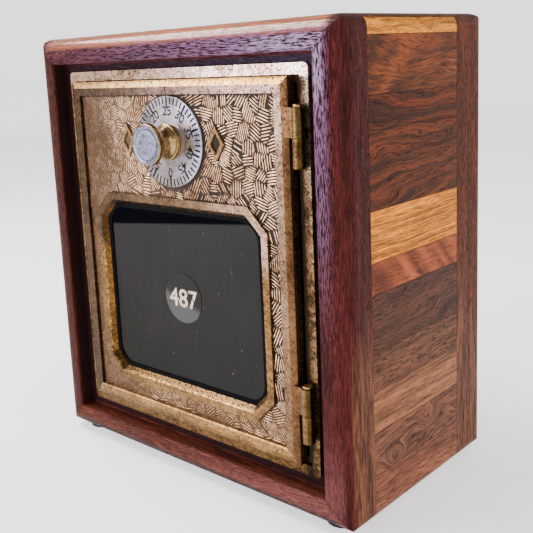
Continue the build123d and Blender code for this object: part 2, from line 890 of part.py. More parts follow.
turning = Plane(origin=(door_x, 0, dial_z), x_dir=(1, 0, 0), z_dir=(0, 0, 1))
bore_end = dial_front - knob_bore_depth
base_top = dial_front - knob_base_thickness
head_back = knob_front + knob_head_thickness
cap_seat = knob_front + cap_thickness
with BuildPart() as knob:
    with BuildSketch(turning):
        with BuildLine():
            Polyline(
                (0, bore_end), (spindle_radius, bore_end), (spindle_radius, dial_front),
                (knob_base_radius, dial_front), (knob_base_radius, base_top),
                (knob_flare_radius, base_top),
            )
            ThreePointArc(
                (knob_flare_radius, base_top),
                (knob_waist_radius, (base_top + head_back) / 2),
                (knob_flare_radius, head_back),
            )
            Polyline(
                (knob_flare_radius, head_back), (knob_head_radius, head_back),
                (knob_head_radius, knob_front), (cap_radius, knob_front),
                (cap_radius, cap_seat), (0, cap_seat), (0, bore_end),
            )
        make_face()
    revolve(axis=dial_axis)
save(knob, "knob")

with BuildPart() as knob_cap:
    with BuildSketch(level(cap_seat)):
        with Locations((door_x, dial_z)):
            Circle(cap_radius)
    extrude(amount=cap_thickness)
save(knob_cap, "knob_cap")

with BuildPart() as spindle:
    with BuildSketch(level(bore_end)):
        with Locations((door_x, dial_z)):
            Circle(spindle_radius)
    extrude(amount=bore_end - nut_back - spindle_tail)
save(spindle, "spindle")

# Drive cam on the spindle, with the pin that picks up the last wheel, and its nut
fly_step = degrees(2 * asin((2 * fly_radius + fly_gap) / (2 * fly_circle)))
with BuildPart() as drive_cam:
    with BuildSketch(level(cam_front)):
        with Locations((door_x, dial_z)):
            Circle(cam_radius)
            Circle(spindle_radius, mode=Mode.SUBTRACT)
            with PolarLocations(cam_radius, 1, start_angle=notch_angle):
                Rectangle(2 * gate_depth, gate_width, mode=Mode.SUBTRACT)
    extrude(amount=-cam_thickness)
    with BuildSketch(level(cam_front)):
        with Locations((door_x, dial_z)):
            with PolarLocations(fly_circle, 1, start_angle=fly_angles[-1] + fly_step):
                Circle(fly_radius)
    extrude(amount=cam_front - post_end + spacer_thickness + wheel_side_gap - fly_end_gap)
save(drive_cam, "drive_cam")

with BuildPart() as cam_nut:
    with BuildSketch(level(cam_back)):
        with Locations((door_x, dial_z)):
            RegularPolygon(nut_radius, 6)
            Circle(spindle_radius, mode=Mode.SUBTRACT)
    extrude(amount=-nut_thickness)
save(cam_nut, "cam_nut")

# Wheel post, fixed to the lock case, with the three wheels and the rings between them
with BuildPart() as wheel_post:
    with BuildSketch(level(lock_floor)):
        with Locations((door_x, dial_z)):
            Circle(post_flange_radius)
    extrude(amount=-post_flange)
    with BuildSketch(level(lock_floor)):
        with Locations((door_x, dial_z)):
            Circle(post_radius)
    extrude(amount=lock_floor - post_end)
    with BuildSketch(level(lock_floor)):
        with Locations((door_x, dial_z)):
            Circle(spindle_radius + spindle_play)
    extrude(amount=lock_floor - post_end, mode=Mode.SUBTRACT)
save(wheel_post, "wheel_post")

pin_length = wheel_pitch - wheel_thickness - fly_end_gap
for number, gate_angle in enumerate(gate_angles):
    wheel_front = first_wheel + number * wheel_pitch
    wheel_back = wheel_front + wheel_thickness
    with BuildPart() as wheel:
        with BuildSketch(level(wheel_front)):
            with Locations((door_x, dial_z)):
                Circle(wheel_radius)
                Circle(post_radius + running_gap, mode=Mode.SUBTRACT)
                with PolarLocations(wheel_radius, 1, start_angle=gate_angle):
                    Rectangle(2 * gate_depth, gate_width, mode=Mode.SUBTRACT)
        extrude(amount=-wheel_thickness)
        with BuildSketch(level(wheel_back)):
            with Locations((door_x, dial_z)):
                with PolarLocations(fly_circle, 1, start_angle=fly_angles[number]):
                    Circle(fly_radius)
        extrude(amount=-pin_length)
        if number > 0:
            with BuildSketch(level(wheel_front)):
                with Locations((door_x, dial_z)):
                    with PolarLocations(
                        fly_circle, 1, start_angle=fly_angles[number - 1] + fly_step
                    ):
                        Circle(fly_radius)
            extrude(amount=pin_length)
    save(wheel, "wheel_" + str(number + 1))

with BuildPart() as wheel_spacers:
    for number in range(len(gate_angles)):
        spacer_front = first_wheel + number * wheel_pitch + wheel_thickness + wheel_side_gap
        with BuildSketch(level(spacer_front)):
            with Locations((door_x, dial_z)):
                Circle(spacer_radius)
                Circle(post_radius, mode=Mode.SUBTRACT)
        extrude(amount=-spacer_thickness)
save(wheel_spacers, "wheel_spacers")

# Spring latch bolt, bevelled on the side that meets the strike when the door is pushed shut
nose_end = bolt_tip + bolt_nose
with BuildPart() as latch_bolt:
    with BuildSketch(Plane.XY.offset(dial_z - bolt_height / 2)):
        with BuildLine():
            Polyline(
                (bolt_tip, bolt_front), (nose_end, bolt_front), (nose_end, bolt_back),
                (bolt_tip + bolt_bevel, bolt_back), (bolt_tip, bolt_front + bolt_lip),
                close=True,
            )
        make_face()
    extrude(amount=bolt_height)
    with BuildSketch(level(bolt_back)):
        with Locations((tail_start, dial_z)):
            Rectangle(tail_end - tail_start, bolt_height, align=(Align.MIN, Align.CENTER))
        with Locations((tail_end, dial_z - bolt_height / 2)):
            Rectangle(
                carrier_width,
                carrier_height + bolt_height / 2,
                align=(Align.MAX, Align.MIN),
            )
        with Locations((pivot_x, lever_z)):
            Circle(pivot_radius, mode=Mode.SUBTRACT)
    extrude(amount=bolt_back - tail_back)
save(latch_bolt, "latch_bolt")

with BuildPart() as latch_spring:
    with BuildSketch(Plane.YZ.offset(nose_end)):
        with Locations(((bolt_front + bolt_back) / 2, dial_z)):
            Circle(spring_radius)
            Circle(spring_bore, mode=Mode.SUBTRACT)
    extrude(amount=tail_end - nose_end)
save(latch_spring, "latch_spring")

# Fence lever: its bar lies across the wheel rims, and its tip rides over the drive cam
with BuildPart() as fence_lever:
    with BuildSketch(level(lever_front)):
        with Locations((pivot_x, lever_z)):
            Circle(lever_eye_radius)
            Rectangle(
                door_x + lever_overhang - pivot_x, lever_bar, align=(Align.MIN, Align.CENTER)
            )
            Circle(pivot_radius + running_gap, mode=Mode.SUBTRACT)
    extrude(amount=-lever_thickness)
    with BuildSketch(level(first_wheel)):
        with Locations((door_x, fence_bottom)):
            Rectangle(fence_width, fence_height, align=(Align.CENTER, Align.MIN))
    extrude(amount=first_wheel - lever_front)
save(fence_lever, "fence_lever")

with BuildPart() as lever_pivot:
    with BuildSketch(level(bolt_back)):
        with Locations((pivot_x, lever_z)):
            Circle(pivot_radius)
    extrude(amount=bolt_back - coil_back)
    with BuildSketch(level(coil_back)):
        with Locations((pivot_x, lever_z)):
            Circle(pivot_head_radius)
    extrude(amount=-pivot_head_height)
save(lever_pivot, "lever_pivot")

# Lever spring: a coil on the pivot, one leg hooked over the lever, one against the bolt's tail
leg_level = lever_bottom + lever_bar + wire_gap
leg_x = pivot_x - (pivot_radius + coil_radius) / 2
with BuildPart() as lever_spring:
    with BuildSketch(level(coil_front)):
        with Locations((pivot_x, lever_z)):
            Circle(coil_radius)
            Circle(pivot_radius, mode=Mode.SUBTRACT)
    extrude(amount=-coil_length)
    with Locations((pivot_x, coil_front, leg_level)):
        Box(leg_reach, wire, wire, align=(Align.MIN, Align.MIN, Align.MIN))
    with Locations((pivot_x + leg_reach, coil_front + wire, leg_level)):
        Box(wire, lever_thickness, wire, align=(Align.MAX, Align.MAX, Align.MIN))
    with Locations((leg_x, coil_front, lever_z)):
        Box(wire, wire, leg_drop, align=(Align.CENTER, Align.MIN, Align.MAX))
    with Locations((leg_x, coil_front + wire, lever_z - leg_drop)):
        Box(wire, coil_front + wire - tail_back, wire, align=(Align.CENTER, Align.MAX, Align.MIN))
save(lever_spring, "lever_spring")
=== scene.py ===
# %% [markdown]
# # A money box with a post office box door
#
# The object is a laminated wooden box. Its front is an old cast brass door with a combination
# dial, a smoked window and two hinges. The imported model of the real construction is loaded
# first, as a frame that is never moved. Everything below dresses that frame: it gives each
# piece its wood, brass, nickel or glass, and models what is too fine for the construction,
# such as the hatching in the brass.

# %% Load the frame
import json
import math

import bmesh
import bpy
import numpy as np
from mathutils import Matrix, Vector

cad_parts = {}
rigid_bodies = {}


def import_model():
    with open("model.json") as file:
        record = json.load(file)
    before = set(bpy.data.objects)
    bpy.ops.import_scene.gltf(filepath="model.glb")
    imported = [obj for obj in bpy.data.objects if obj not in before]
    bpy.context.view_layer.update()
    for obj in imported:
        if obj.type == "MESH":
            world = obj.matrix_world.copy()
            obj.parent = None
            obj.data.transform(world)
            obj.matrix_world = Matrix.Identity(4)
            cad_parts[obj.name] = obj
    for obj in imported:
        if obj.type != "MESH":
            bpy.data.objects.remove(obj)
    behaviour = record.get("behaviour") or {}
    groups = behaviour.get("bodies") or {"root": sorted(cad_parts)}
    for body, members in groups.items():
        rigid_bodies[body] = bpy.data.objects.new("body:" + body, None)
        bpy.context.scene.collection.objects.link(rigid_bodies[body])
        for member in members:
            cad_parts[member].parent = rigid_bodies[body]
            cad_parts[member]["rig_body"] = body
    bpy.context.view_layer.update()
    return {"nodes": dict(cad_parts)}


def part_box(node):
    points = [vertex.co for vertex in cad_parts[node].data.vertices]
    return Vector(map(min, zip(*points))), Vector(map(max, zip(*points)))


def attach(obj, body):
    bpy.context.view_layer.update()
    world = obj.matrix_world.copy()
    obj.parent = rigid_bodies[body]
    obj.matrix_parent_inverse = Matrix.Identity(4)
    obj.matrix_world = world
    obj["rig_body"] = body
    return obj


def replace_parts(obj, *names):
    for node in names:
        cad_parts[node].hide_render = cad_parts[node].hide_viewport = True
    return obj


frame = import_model()
mm = 0.001

# %% [markdown]
# ## Camera
#
# The photograph was taken from the right of the door, at the height of the door's top and
# looking a little down, and then cropped off centre. The lens and the place were solved from
# the straight edges of the case, so every edge is drawn where the photograph has it. The crop
# becomes the camera's shift.

# %% Place the camera
photo_width = 533
focal_length_px = 835.4
principal_point_px = (222.05, 216.82)
camera_spot = Vector((241.46, -265.94, 171.64)) * mm
camera_turn = math.radians(43.98)
camera_tilt = math.radians(10.64)
camera_roll = math.radians(-3.03)

camera_data = bpy.data.cameras.new("camera")
camera_data.sensor_width = 36.0
camera_data.lens = focal_length_px / photo_width * camera_data.sensor_width
camera_data.shift_x = 0.5 - principal_point_px[0] / photo_width
camera_data.shift_y = principal_point_px[1] / photo_width - 0.5
camera_data.clip_start = 0.01
camera = bpy.data.objects.new("camera", camera_data)
bpy.context.scene.collection.objects.link(camera)
camera.matrix_world = (
    Matrix.Translation(camera_spot)
    @ Matrix.Rotation(camera_turn, 4, "Z")
    @ Matrix.Rotation(math.pi / 2 - camera_tilt, 4, "X")
    @ Matrix.Rotation(camera_roll, 4, "Z")
)
bpy.context.scene.camera = camera
print("lens", round(camera_data.lens, 2), "mm, shift", round(camera_data.shift_x, 4))

# %% [markdown]
# ## Floor and light
#
# A product photograph on white needs a floor that stays pale up to the top of the picture, so
# the floor here rises at its rim into a low wall all round, as a photographer's paper sweep
# does. Oiled wood and old brass show what is around them, so the lamps are big areas that they
# can mirror. A cool window stands at the front left, and the top right corner of the front
# mirrors it as a lavender sheen, which is also painted into the wood's colour there. The key
# lamp hangs high on the left, where the rounded top edge mirrors it.

# %% Lay the floor
floor_profile = ((0.0, 0.0), (2.5, 0.0), (2.8, 0.08), (3.0, 0.35), (3.05, 1.5))
floor_sides = 64
floor_points = [(0.0, 0.0, 0.0)]
floor_faces = []
for ring, (radius, height) in enumerate(floor_profile[1:]):
    for side in range(floor_sides):
        turn = 2 * math.pi * side / floor_sides
        floor_points.append((radius * math.cos(turn), radius * math.sin(turn), height))
        here = 1 + ring * floor_sides + side
        beside = 1 + ring * floor_sides + (side + 1) % floor_sides
        if ring == 0:
            floor_faces.append((0, here, beside))
        else:
            floor_faces.append((here - floor_sides, here, beside, beside - floor_sides))
floor_mesh = bpy.data.meshes.new("floor")
floor_mesh.from_pydata(floor_points, [], floor_faces)
floor_mesh.shade_smooth()
floor = bpy.data.objects.new("floor", floor_mesh)
bpy.context.scene.collection.objects.link(floor)
floor_paint = bpy.data.materials.new("pale_floor")
floor_paint.use_nodes = True
floor_shader = floor_paint.node_tree.nodes["Principled BSDF"]
floor_shader.inputs["Base Color"].default_value = (0.92, 0.92, 0.92, 1)
floor_shader.inputs["Roughness"].default_value = 0.7
floor_shader.inputs["Emission Color"].default_value = (1, 1, 1, 1)
floor_shader.inputs["Emission Strength"].default_value = 0.9
floor_mesh.materials.append(floor_paint)
print("floor is", 2 * floor_profile[-1][0], "m wide")

# %% Hang the lamps
lamp_aim = Vector((0, 0, 95)) * mm
lamps = {
    "window": {"spot": (-385, -720, 330), "size": (300, 460), "power": 8.0, "tint": (0.80, 0.76, 1.0)},
    "key": {"spot": (-520, -160, 800), "size": (420, 420), "power": 13.0, "tint": (1.0, 0.96, 0.9)},
    "side": {"spot": (820, 120, 520), "size": (500, 500), "power": 2.5, "tint": (1.0, 0.95, 0.9)},
}
for name, lamp in lamps.items():
    light = bpy.data.lights.new(name, "AREA")
    light.shape = "RECTANGLE"
    light.size, light.size_y = (side * mm for side in lamp["size"])
    light.energy = lamp["power"]
    light.color = lamp["tint"]
    holder = bpy.data.objects.new(name, light)
    bpy.context.scene.collection.objects.link(holder)
    holder.location = Vector(lamp["spot"]) * mm
    holder.rotation_euler = (lamp_aim - holder.location).to_track_quat("-Z", "Y").to_euler()
world = bpy.data.worlds.new("studio")
world.use_nodes = True
world.node_tree.nodes["Background"].inputs["Color"].default_value = (1, 1, 1, 1)
world.node_tree.nodes["Background"].inputs["Strength"].default_value = 0.4
bpy.context.scene.world = world
print(len(lamps), "lamps")

# %% [markdown]
# ## A short way to write node trees
#
# Node trees wired by hand in a script get long and hard to read. Here one small class wraps an
# output socket, and Python's own operators add the Math nodes, so a mask reads like a formula.
# A second class owns the tree and adds any other node with one method. Both serve for shaders
# and for Geometry Nodes.

# %% Sockets with arithmetic
class Value:
    """One output socket. Arithmetic on it adds a Math node for each step."""

    def __init__(self, graph, socket):
        self.graph = graph
        self.socket = socket

    def __add__(self, other):
        return self.graph.maths("ADD", self, other)

    __radd__ = __add__

    def __sub__(self, other):
        return self.graph.maths("SUBTRACT", self, other)

    def __rsub__(self, other):
        return self.graph.maths("SUBTRACT", other, self)

    def __mul__(self, other):
        return self.graph.maths("MULTIPLY", self, other)

    __rmul__ = __mul__

    def __truediv__(self, other):
        return self.graph.maths("DIVIDE", self, other)

    def __pow__(self, other):
        return self.graph.maths("POWER", self, other)


class Graph:
    """A node tree that is filled through one method; the others are short names for it."""

    def __init__(self, tree):
        self.tree = tree

    def node(self, kind, settings=None, sockets=None, output=0):
        made = self.tree.nodes.new(kind)
        for name, value in (settings or {}).items():
            if name == "stops":
                set_stops(made.color_ramp, value)
            else:
                setattr(made, name, value)
        for key, value in (sockets or {}).items():
            self.feed(made.inputs[key], value)
        return Value(self, made.outputs[output])

    def feed(self, target, value):
        if isinstance(value, Value):
            self.tree.links.new(value.socket, target)
        else:
            target.default_value = value

    def maths(self, operation, first, second=0.0):
        return self.node("ShaderNodeMath", {"operation": operation}, {0: first, 1: second})

    def size_of(self, value):
        return self.maths("ABSOLUTE", value)

    def larger(self, first, second):
        return self.maths("MAXIMUM", first, second)

    def smaller(self, first, second):
        return self.maths("MINIMUM", first, second)

    def at(self, x, y, z):
        return self.node("ShaderNodeCombineXYZ", {}, {0: x, 1: y, 2: z})

    def split(self, vector):
        parts = self.node("ShaderNodeSeparateXYZ", {}, {0: vector}).socket.node
        return [Value(self, socket) for socket in parts.outputs]

    def step(self, value, low, high, start=0.0, end=1.0):
        """A soft step, from start at low to end at high."""
        ends = {0: value, 1: low, 2: high, 3: start, 4: end}
        return self.node("ShaderNodeMapRange", {"interpolation_type": "SMOOTHSTEP"}, ends)

    def noise(self, place, scale=1.0, detail=2.0, roughness=0.5):
        values = {"Vector": place, "Scale": scale, "Detail": detail, "Roughness": roughness}
        return self.node("ShaderNodeTexNoise", {}, values)


def set_stops(ramp, stops):
    """Give a colour ramp its stops, each a position and a colour of three numbers."""
    while len(ramp.elements) < len(stops):
        ramp.elements.new(0.5)
    for element, (position, colour) in zip(ramp.elements, stops):
        element.position = position
        element.color = (*colour, 1)


print("node classes ready")

# %% Materials with patterns in millimetres
class Paint(Graph):
    """A material whose patterns are laid out in the object's own millimetres."""

    def __init__(self, name):
        self.material = bpy.data.materials.new(name)
        self.material.use_nodes = True
        super().__init__(self.material.node_tree)
        self.shader = self.tree.nodes["Principled BSDF"]
        metres = self.node("ShaderNodeTexCoord", output="Object")
        sockets = {0: metres, "Scale": 1 / mm}
        self.place = self.node("ShaderNodeVectorMath", {"operation": "SCALE"}, sockets)
        self.x, self.y, self.z = self.split(self.place)

    def ramp(self, value, *stops):
        return self.node("ShaderNodeValToRGB", {"stops": stops}, {0: value})

    def mix(self, first, second, factor, blend="MIX"):
        ends = {0: factor, 6: rgba(first), 7: rgba(second)}
        settings = {"data_type": "RGBA", "blend_type": blend, "clamp_result": True}
        return self.node("ShaderNodeMix", settings, ends, output=2)

    def set(self, **values):
        """Feed the shader's own sockets; the names have underscores for spaces."""
        for name, value in values.items():
            self.feed(self.shader.inputs[name.replace("_", " ")], rgba(value))

    def bump(self, height, depth_mm):
        """Turn a height from 0 to 1 into a relief this many millimetres deep."""
        values = {"Height": height, "Distance": depth_mm * mm, "Strength": 1.0}
        self.set(Normal=self.node("ShaderNodeBump", {}, values))


def rgba(value):
    """Add the alpha to a colour of three numbers, and leave anything else alone."""
    return (*value, 1) if isinstance(value, tuple) and len(value) == 3 else value


def scaled(colour, share):
    return tuple(channel * share for channel in colour)


print("paints ready")

# %% [markdown]
# ## Dressing a construction piece
#
# The construction's pieces have knife-sharp edges, and nothing real has. A copy of each visible
# piece is merged back into clean faces, gets a narrow rounding on every edge to catch the
# light, and takes over from the original. Wood is sanded softer than a casting, and a turned
# part is crisp. Pieces that change shape as they move keep their own mesh.

# %% Copy with eased edges
flat_angle = math.radians(0.4)
sharp_angle = math.radians(28)


def link_piece(name, mesh, body, material):
    """Put a finished mesh in the scene as a piece that rides on a body."""
    piece = bpy.data.objects.new(name, mesh)
    bpy.context.scene.collection.objects.link(piece)
    mesh.materials.clear()
    mesh.materials.append(material)
    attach(piece, body)
    return piece


def merged_copy(node):
    """The node's mesh with its loose triangles joined into whole faces."""
    build = bmesh.new()
    build.from_mesh(frame["nodes"][node].data)
    bmesh.ops.remove_doubles(build, verts=build.verts, dist=0.004 * mm)
    bmesh.ops.dissolve_limit(build, angle_limit=flat_angle, verts=build.verts, edges=build.edges)
    mesh = bpy.data.meshes.new(node + "_merged")
    build.to_mesh(mesh)
    build.free()
    return mesh


def baked_mesh(piece):
    """The mesh that an object's modifiers make, as plain faces."""
    view = bpy.context.evaluated_depsgraph_get()
    return bpy.data.meshes.new_from_object(piece.evaluated_get(view))


def eased(node, material, width=0.25, segments=2):
    """A copy of a node with eased edges, which stands for it."""
    rough = bpy.data.objects.new("rough", merged_copy(node))
    bpy.context.scene.collection.objects.link(rough)
    rough.data.shade_smooth()
    bevel = rough.modifiers.new("eased edges", "BEVEL")
    bevel.width = width * mm
    bevel.segments = segments
    bevel.limit_method = "ANGLE"
    bevel.angle_limit = sharp_angle
    weigh = rough.modifiers.new("flat faces", "WEIGHTED_NORMAL")
    weigh.keep_sharp = True
    mesh = baked_mesh(rough)
    bpy.data.objects.remove(rough)
    body = frame["nodes"][node]["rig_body"]
    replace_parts(link_piece(node + "_eased", mesh, body, material), node)


def finish_node(node, material):
    """Give a construction piece that stays its finish."""
    holder = frame["nodes"][node]
    if not holder.material_slots:
        holder.data.materials.append(material)
    for slot in holder.material_slots:
        slot.material = material


# %% [markdown]
# ## Wood
#
# A board's face is a cut through growth rings, so its colour runs in long streaks along the
# grain that wander a little. Over them lie fine fibres and, in walnut and oak, open pores that
# show as short dark dashes. One function paints them all: it stretches noise along the grain,
# and each board gets its own colours, streak width, pores and seed. A figured board adds
# slanting waves, and a board with a knot bends its streaks around it.

# %% Paint a board
oil_depth = 0.74


def shades(colour):
    """A dark, a middle and a light shade of one colour, as deep as the oil makes them."""
    return tuple(scaled(colour, share * oil_depth) for share in (0.38, 1.0, 1.8))


def board(name, grain, colour, seed, streak=5.0, wander=3.0, slant=0.0, pores=0.5, fibre=1.2,
          waves=0.0, wave_length=14.0, wave_slant=0.8, knots=(), contrast=1.0, ends=None):
    """Oiled wood with its grain along one axis, in shades of one colour."""
    paint = Paint(name)
    colours = shades(colour)
    axes = {"Y": (paint.y, paint.z, paint.x), "Z": (paint.z, paint.y, paint.x)}
    along, across, deep = axes[grain]
    drift = paint.noise(paint.at(along * 0.018, across * 0.05, seed)) - 0.5
    ring = across + deep * 0.6 + along * slant + drift * (wander * 6)
    shade = 0.0
    for knot_along, knot_across, knot_size in knots:
        run = (along - knot_along) * (0.6 / knot_size)
        rise = (across - knot_across) * (1.0 / knot_size)
        reach = (run * run + rise * rise) ** 0.5
        ring = ring + paint.step(reach, 2.6, 0.2) * (knot_size * 2.2)
        shade = shade + paint.step(reach, 0.55, 0.15) * 0.75
    streaks = paint.noise(paint.at(along * 0.008, ring / streak, seed + 3.1), 1.0, 4.0, 0.62)
    fine = paint.noise(paint.at(along * 0.10, ring * 1.7, deep * 1.7 + seed), 1.0, 3.0, 0.62)
    tone = (streaks - 0.5) * (2.3 * contrast) + (fine - 0.5) * (1.7 * fibre) + 0.49
    if waves:
        slope = along + across * wave_slant
        sway = paint.noise(paint.at(slope / wave_length, across * 0.03, seed + 7.7), 1.0, 1.5)
        tone = tone + (sway - 0.5) * (2.6 * waves)
    colour = paint.ramp(tone, (0.15, colours[0]), (0.5, colours[1]), (0.85, colours[2]))
    dashes = paint.noise(paint.at(along * 0.26, ring * 1.9, deep * 1.9 + seed), 1.0, 2.0, 0.6)
    pore = paint.step(dashes, 0.53, 0.64)
    dark = scaled(colours[0], 0.5)
    colour = paint.mix(colour, dark, pore * pores)
    if knots:
        colour = paint.mix(colour, dark, shade)
    if ends:
        seam = paint.step(paint.smaller(across - ends[0], ends[1] - across), 0.22, 0.02)
        colour = paint.mix(colour, dark, seam * 0.75)
    roughness = pore * 0.2 + fine * 0.16 + 0.42
    paint.set(Base_Color=colour, Roughness=roughness, Specular_IOR_Level=0.09)
    paint.bump(fine * 0.5 - pore * 0.8, 0.08)
    return paint.material


print("board painter ready")

# %% [markdown]
# The right wall is the show side: eleven boards, and no two are alike. Each row below is one
# board from the top down, with its colour and its own figure. The joints are as thin as a
# pencil line, because the boards were planed and glued before the case was sanded flush.

# %% Right wall
right_wall = {
    "1_oak": dict(colour=(0.66, 0.225, 0.016), streak=2.2, pores=0.6, fibre=1.0, contrast=0.6),
    "2_figured": dict(
        colour=(0.148, 0.036, 0.008), streak=9.0, pores=0.4, waves=0.7, wave_length=17.0,
        wave_slant=-1.0, contrast=0.5),
    "3_smoky": dict(colour=(0.100, 0.018, 0.002), streak=4.0, slant=0.05, contrast=1.3),
    "4_streaked": dict(
        colour=(0.090, 0.019, 0.003), streak=3.2, pores=0.6, slant=-0.10, contrast=1.3),
    "5_ash": dict(colour=(0.67, 0.210, 0.012), streak=2.2, wander=0.7, fibre=1.1, contrast=0.7),
    "6_cherry": dict(
        colour=(0.27, 0.060, 0.017), streak=8.0, pores=0.2, fibre=0.7, waves=0.8, wave_length=8.0,
        wave_slant=0.9, contrast=0.4),
    "7_grey": dict(colour=(0.076, 0.024, 0.012), streak=6.0, contrast=0.7),
    "8_flecked": dict(
        colour=(0.140, 0.050, 0.023), streak=4.0, pores=0.9, wander=1.0, contrast=0.6),
    "9_honey": dict(
        colour=(0.26, 0.096, 0.040), streak=4.0, pores=0.4, wander=0.7, contrast=0.9),
    "10_knotted": dict(
        colour=(0.158, 0.055, 0.027), streak=4.0, knots=((-14.8, 22.0, 2.6), (8.8, 30.1, 2.2))),
    "11_plum": dict(
        colour=(0.240, 0.076, 0.037), streak=6.0, wander=1.5, slant=0.04, contrast=0.7),
}
strip_ease = 0.10
for number, (strip, look) in enumerate(right_wall.items()):
    node = "right_strip_" + strip
    low, high = (corner.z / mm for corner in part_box(node))
    eased(node, board(node, "Y", seed=11.0 + 5.3 * number, ends=(low, high), **look), strip_ease, 1)
print(len(right_wall), "boards on the right wall")

# %% [markdown]
# The other walls show less, so the construction keeps their boards in three groups by wood.
# The same painter gives each group its wood, and slow noise across the boards keeps neighbours
# of one wood from matching.

# %% Left, top and bottom walls
plain_woods = {
    "walnut": dict(colour=(0.100, 0.032, 0.014), streak=4.0, pores=0.55),
    "cherry": dict(colour=(0.28, 0.070, 0.024), streak=6.0, pores=0.2, waves=0.35, wave_length=11.0),
    "oak": dict(colour=(0.62, 0.205, 0.034), streak=2.4, contrast=0.7),
}
for wall_number, wall in enumerate(("left", "top", "bottom")):
    for wood_number, (wood, look) in enumerate(plain_woods.items()):
        node = wall + "_" + wood + "_strips"
        seed = 90.0 + 9.1 * wall_number + 3.7 * wood_number
        eased(node, board(node, "Y", seed=seed, **look), strip_ease, 1)
print("nine groups of boards")

# %% [markdown]
# ## Edging
#
# The front edging is a purple-brown hardwood with long dark pores, rounded over outside and
# oiled until its face shines. The back edging is plain walnut. The grain runs along each
# length, so the uprights are painted along Z and the rails along X, and the mitres show as a
# change of direction and a hairline. Masks by place paint the marks of use and some light and
# shade: the front is polished towards its top right corner, where a lavender sheen is painted
# into its colour, the top edge is rubbed pale and painted lighter to the right, the foot of the
# front is painted lighter to the right, and the rebate and the underside of the bottom rail are
# painted in shade. Low down on the sides the wood is paler and greyer.

# %% Front and back edging
front_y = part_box("front_edging_left")[0].y / mm
case_low, case_high = (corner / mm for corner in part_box("front_edging_right"))
case_middle = (case_low.z + case_high.z) / 2
rebate_land = 11.5
rebate_top = case_high.z - rebate_land
worn_colour = (0.55, 0.165, 0.066)
# A lavender sheen that is painted into the front's colour near its top right corner.
painted_sheen_colour = (0.190, 0.084, 0.195)
# A painted light for the foot of the front, towards its right.
foot_light_colour = (0.24, 0.085, 0.078)
# Paler, greyer colours for low down on the sides.
paler_low_colours = ((0.036, 0.012, 0.006), (0.115, 0.040, 0.019), (0.21, 0.083, 0.041))
# Painted shade for the rebate: near black in it, dark purple along the shoulder under the top.
rebate_shade_colour, shoulder_shade_colour = (0.012, 0.005, 0.006), (0.030, 0.020, 0.036)


def edging_paint(name, grain, colour, seed, is_front=False):
    """Close-grained edging, with the marks of use and painted light and shade on the front lengths."""
    paint = Paint(name)
    colours = shades(colour)
    dark = scaled(colours[0], 0.4)
    axes = {"X": (paint.x, paint.z, paint.y), "Z": (paint.z, paint.x, paint.y)}
    along, across, deep = axes[grain]
    drift = paint.noise(paint.at(along * 0.02, across * 0.06, deep * 0.06 + seed)) - 0.5
    ring = across + deep * 0.8 + drift * 14
    streaks = paint.noise(paint.at(along * 0.012, ring / 3.2, seed), 1.0, 4.0, 0.62)
    fine = paint.noise(paint.at(along * 0.13, across * 1.8, deep * 1.8 + seed), 1.0, 3.0, 0.62)
    tone = (streaks - 0.5) * 1.4 + (fine - 0.5) * 1.5 + 0.5
    colour = paint.ramp(tone, (0.15, colours[0]), (0.5, colours[1]), (0.85, colours[2]))
    dashes = paint.noise(paint.at(along * 0.30, across * 2.7, deep * 2.7 + seed), 1.0, 2.0, 0.6)
    pore = paint.step(dashes, 0.49, 0.58)
    on_front = paint.step(paint.y, front_y + 2.6, front_y + 0.3)
    pore_depth = on_front * paint.step(paint.z, 20.0, 130.0) * 0.5 + 0.35
    colour = paint.mix(colour, dark, pore * pore_depth)
    from_side = case_high.x - paint.size_of(paint.x)
    on_side = paint.step(from_side, 1.5, 0.3)
    # Low down on the sides the wood turns paler and greyer.
    paler_low = paint.ramp(tone, *zip((0.25, 0.5, 0.75), paler_low_colours))
    low_down = paint.step(paint.z + drift * 60, 92.0, 48.0)
    colour = paint.mix(colour, paler_low, on_side * low_down * 0.85)
    if is_front:
        colour = worn_and_lit_front(paint, colour, dark, tone, pore, on_front, from_side)
    roughness = pore * 0.3 + fine * 0.14 + 0.34
    paint.set(Base_Color=colour, Roughness=roughness, Specular_IOR_Level=0.06)
    paint.bump(fine * 0.6 - pore, 0.18)
    return paint.material


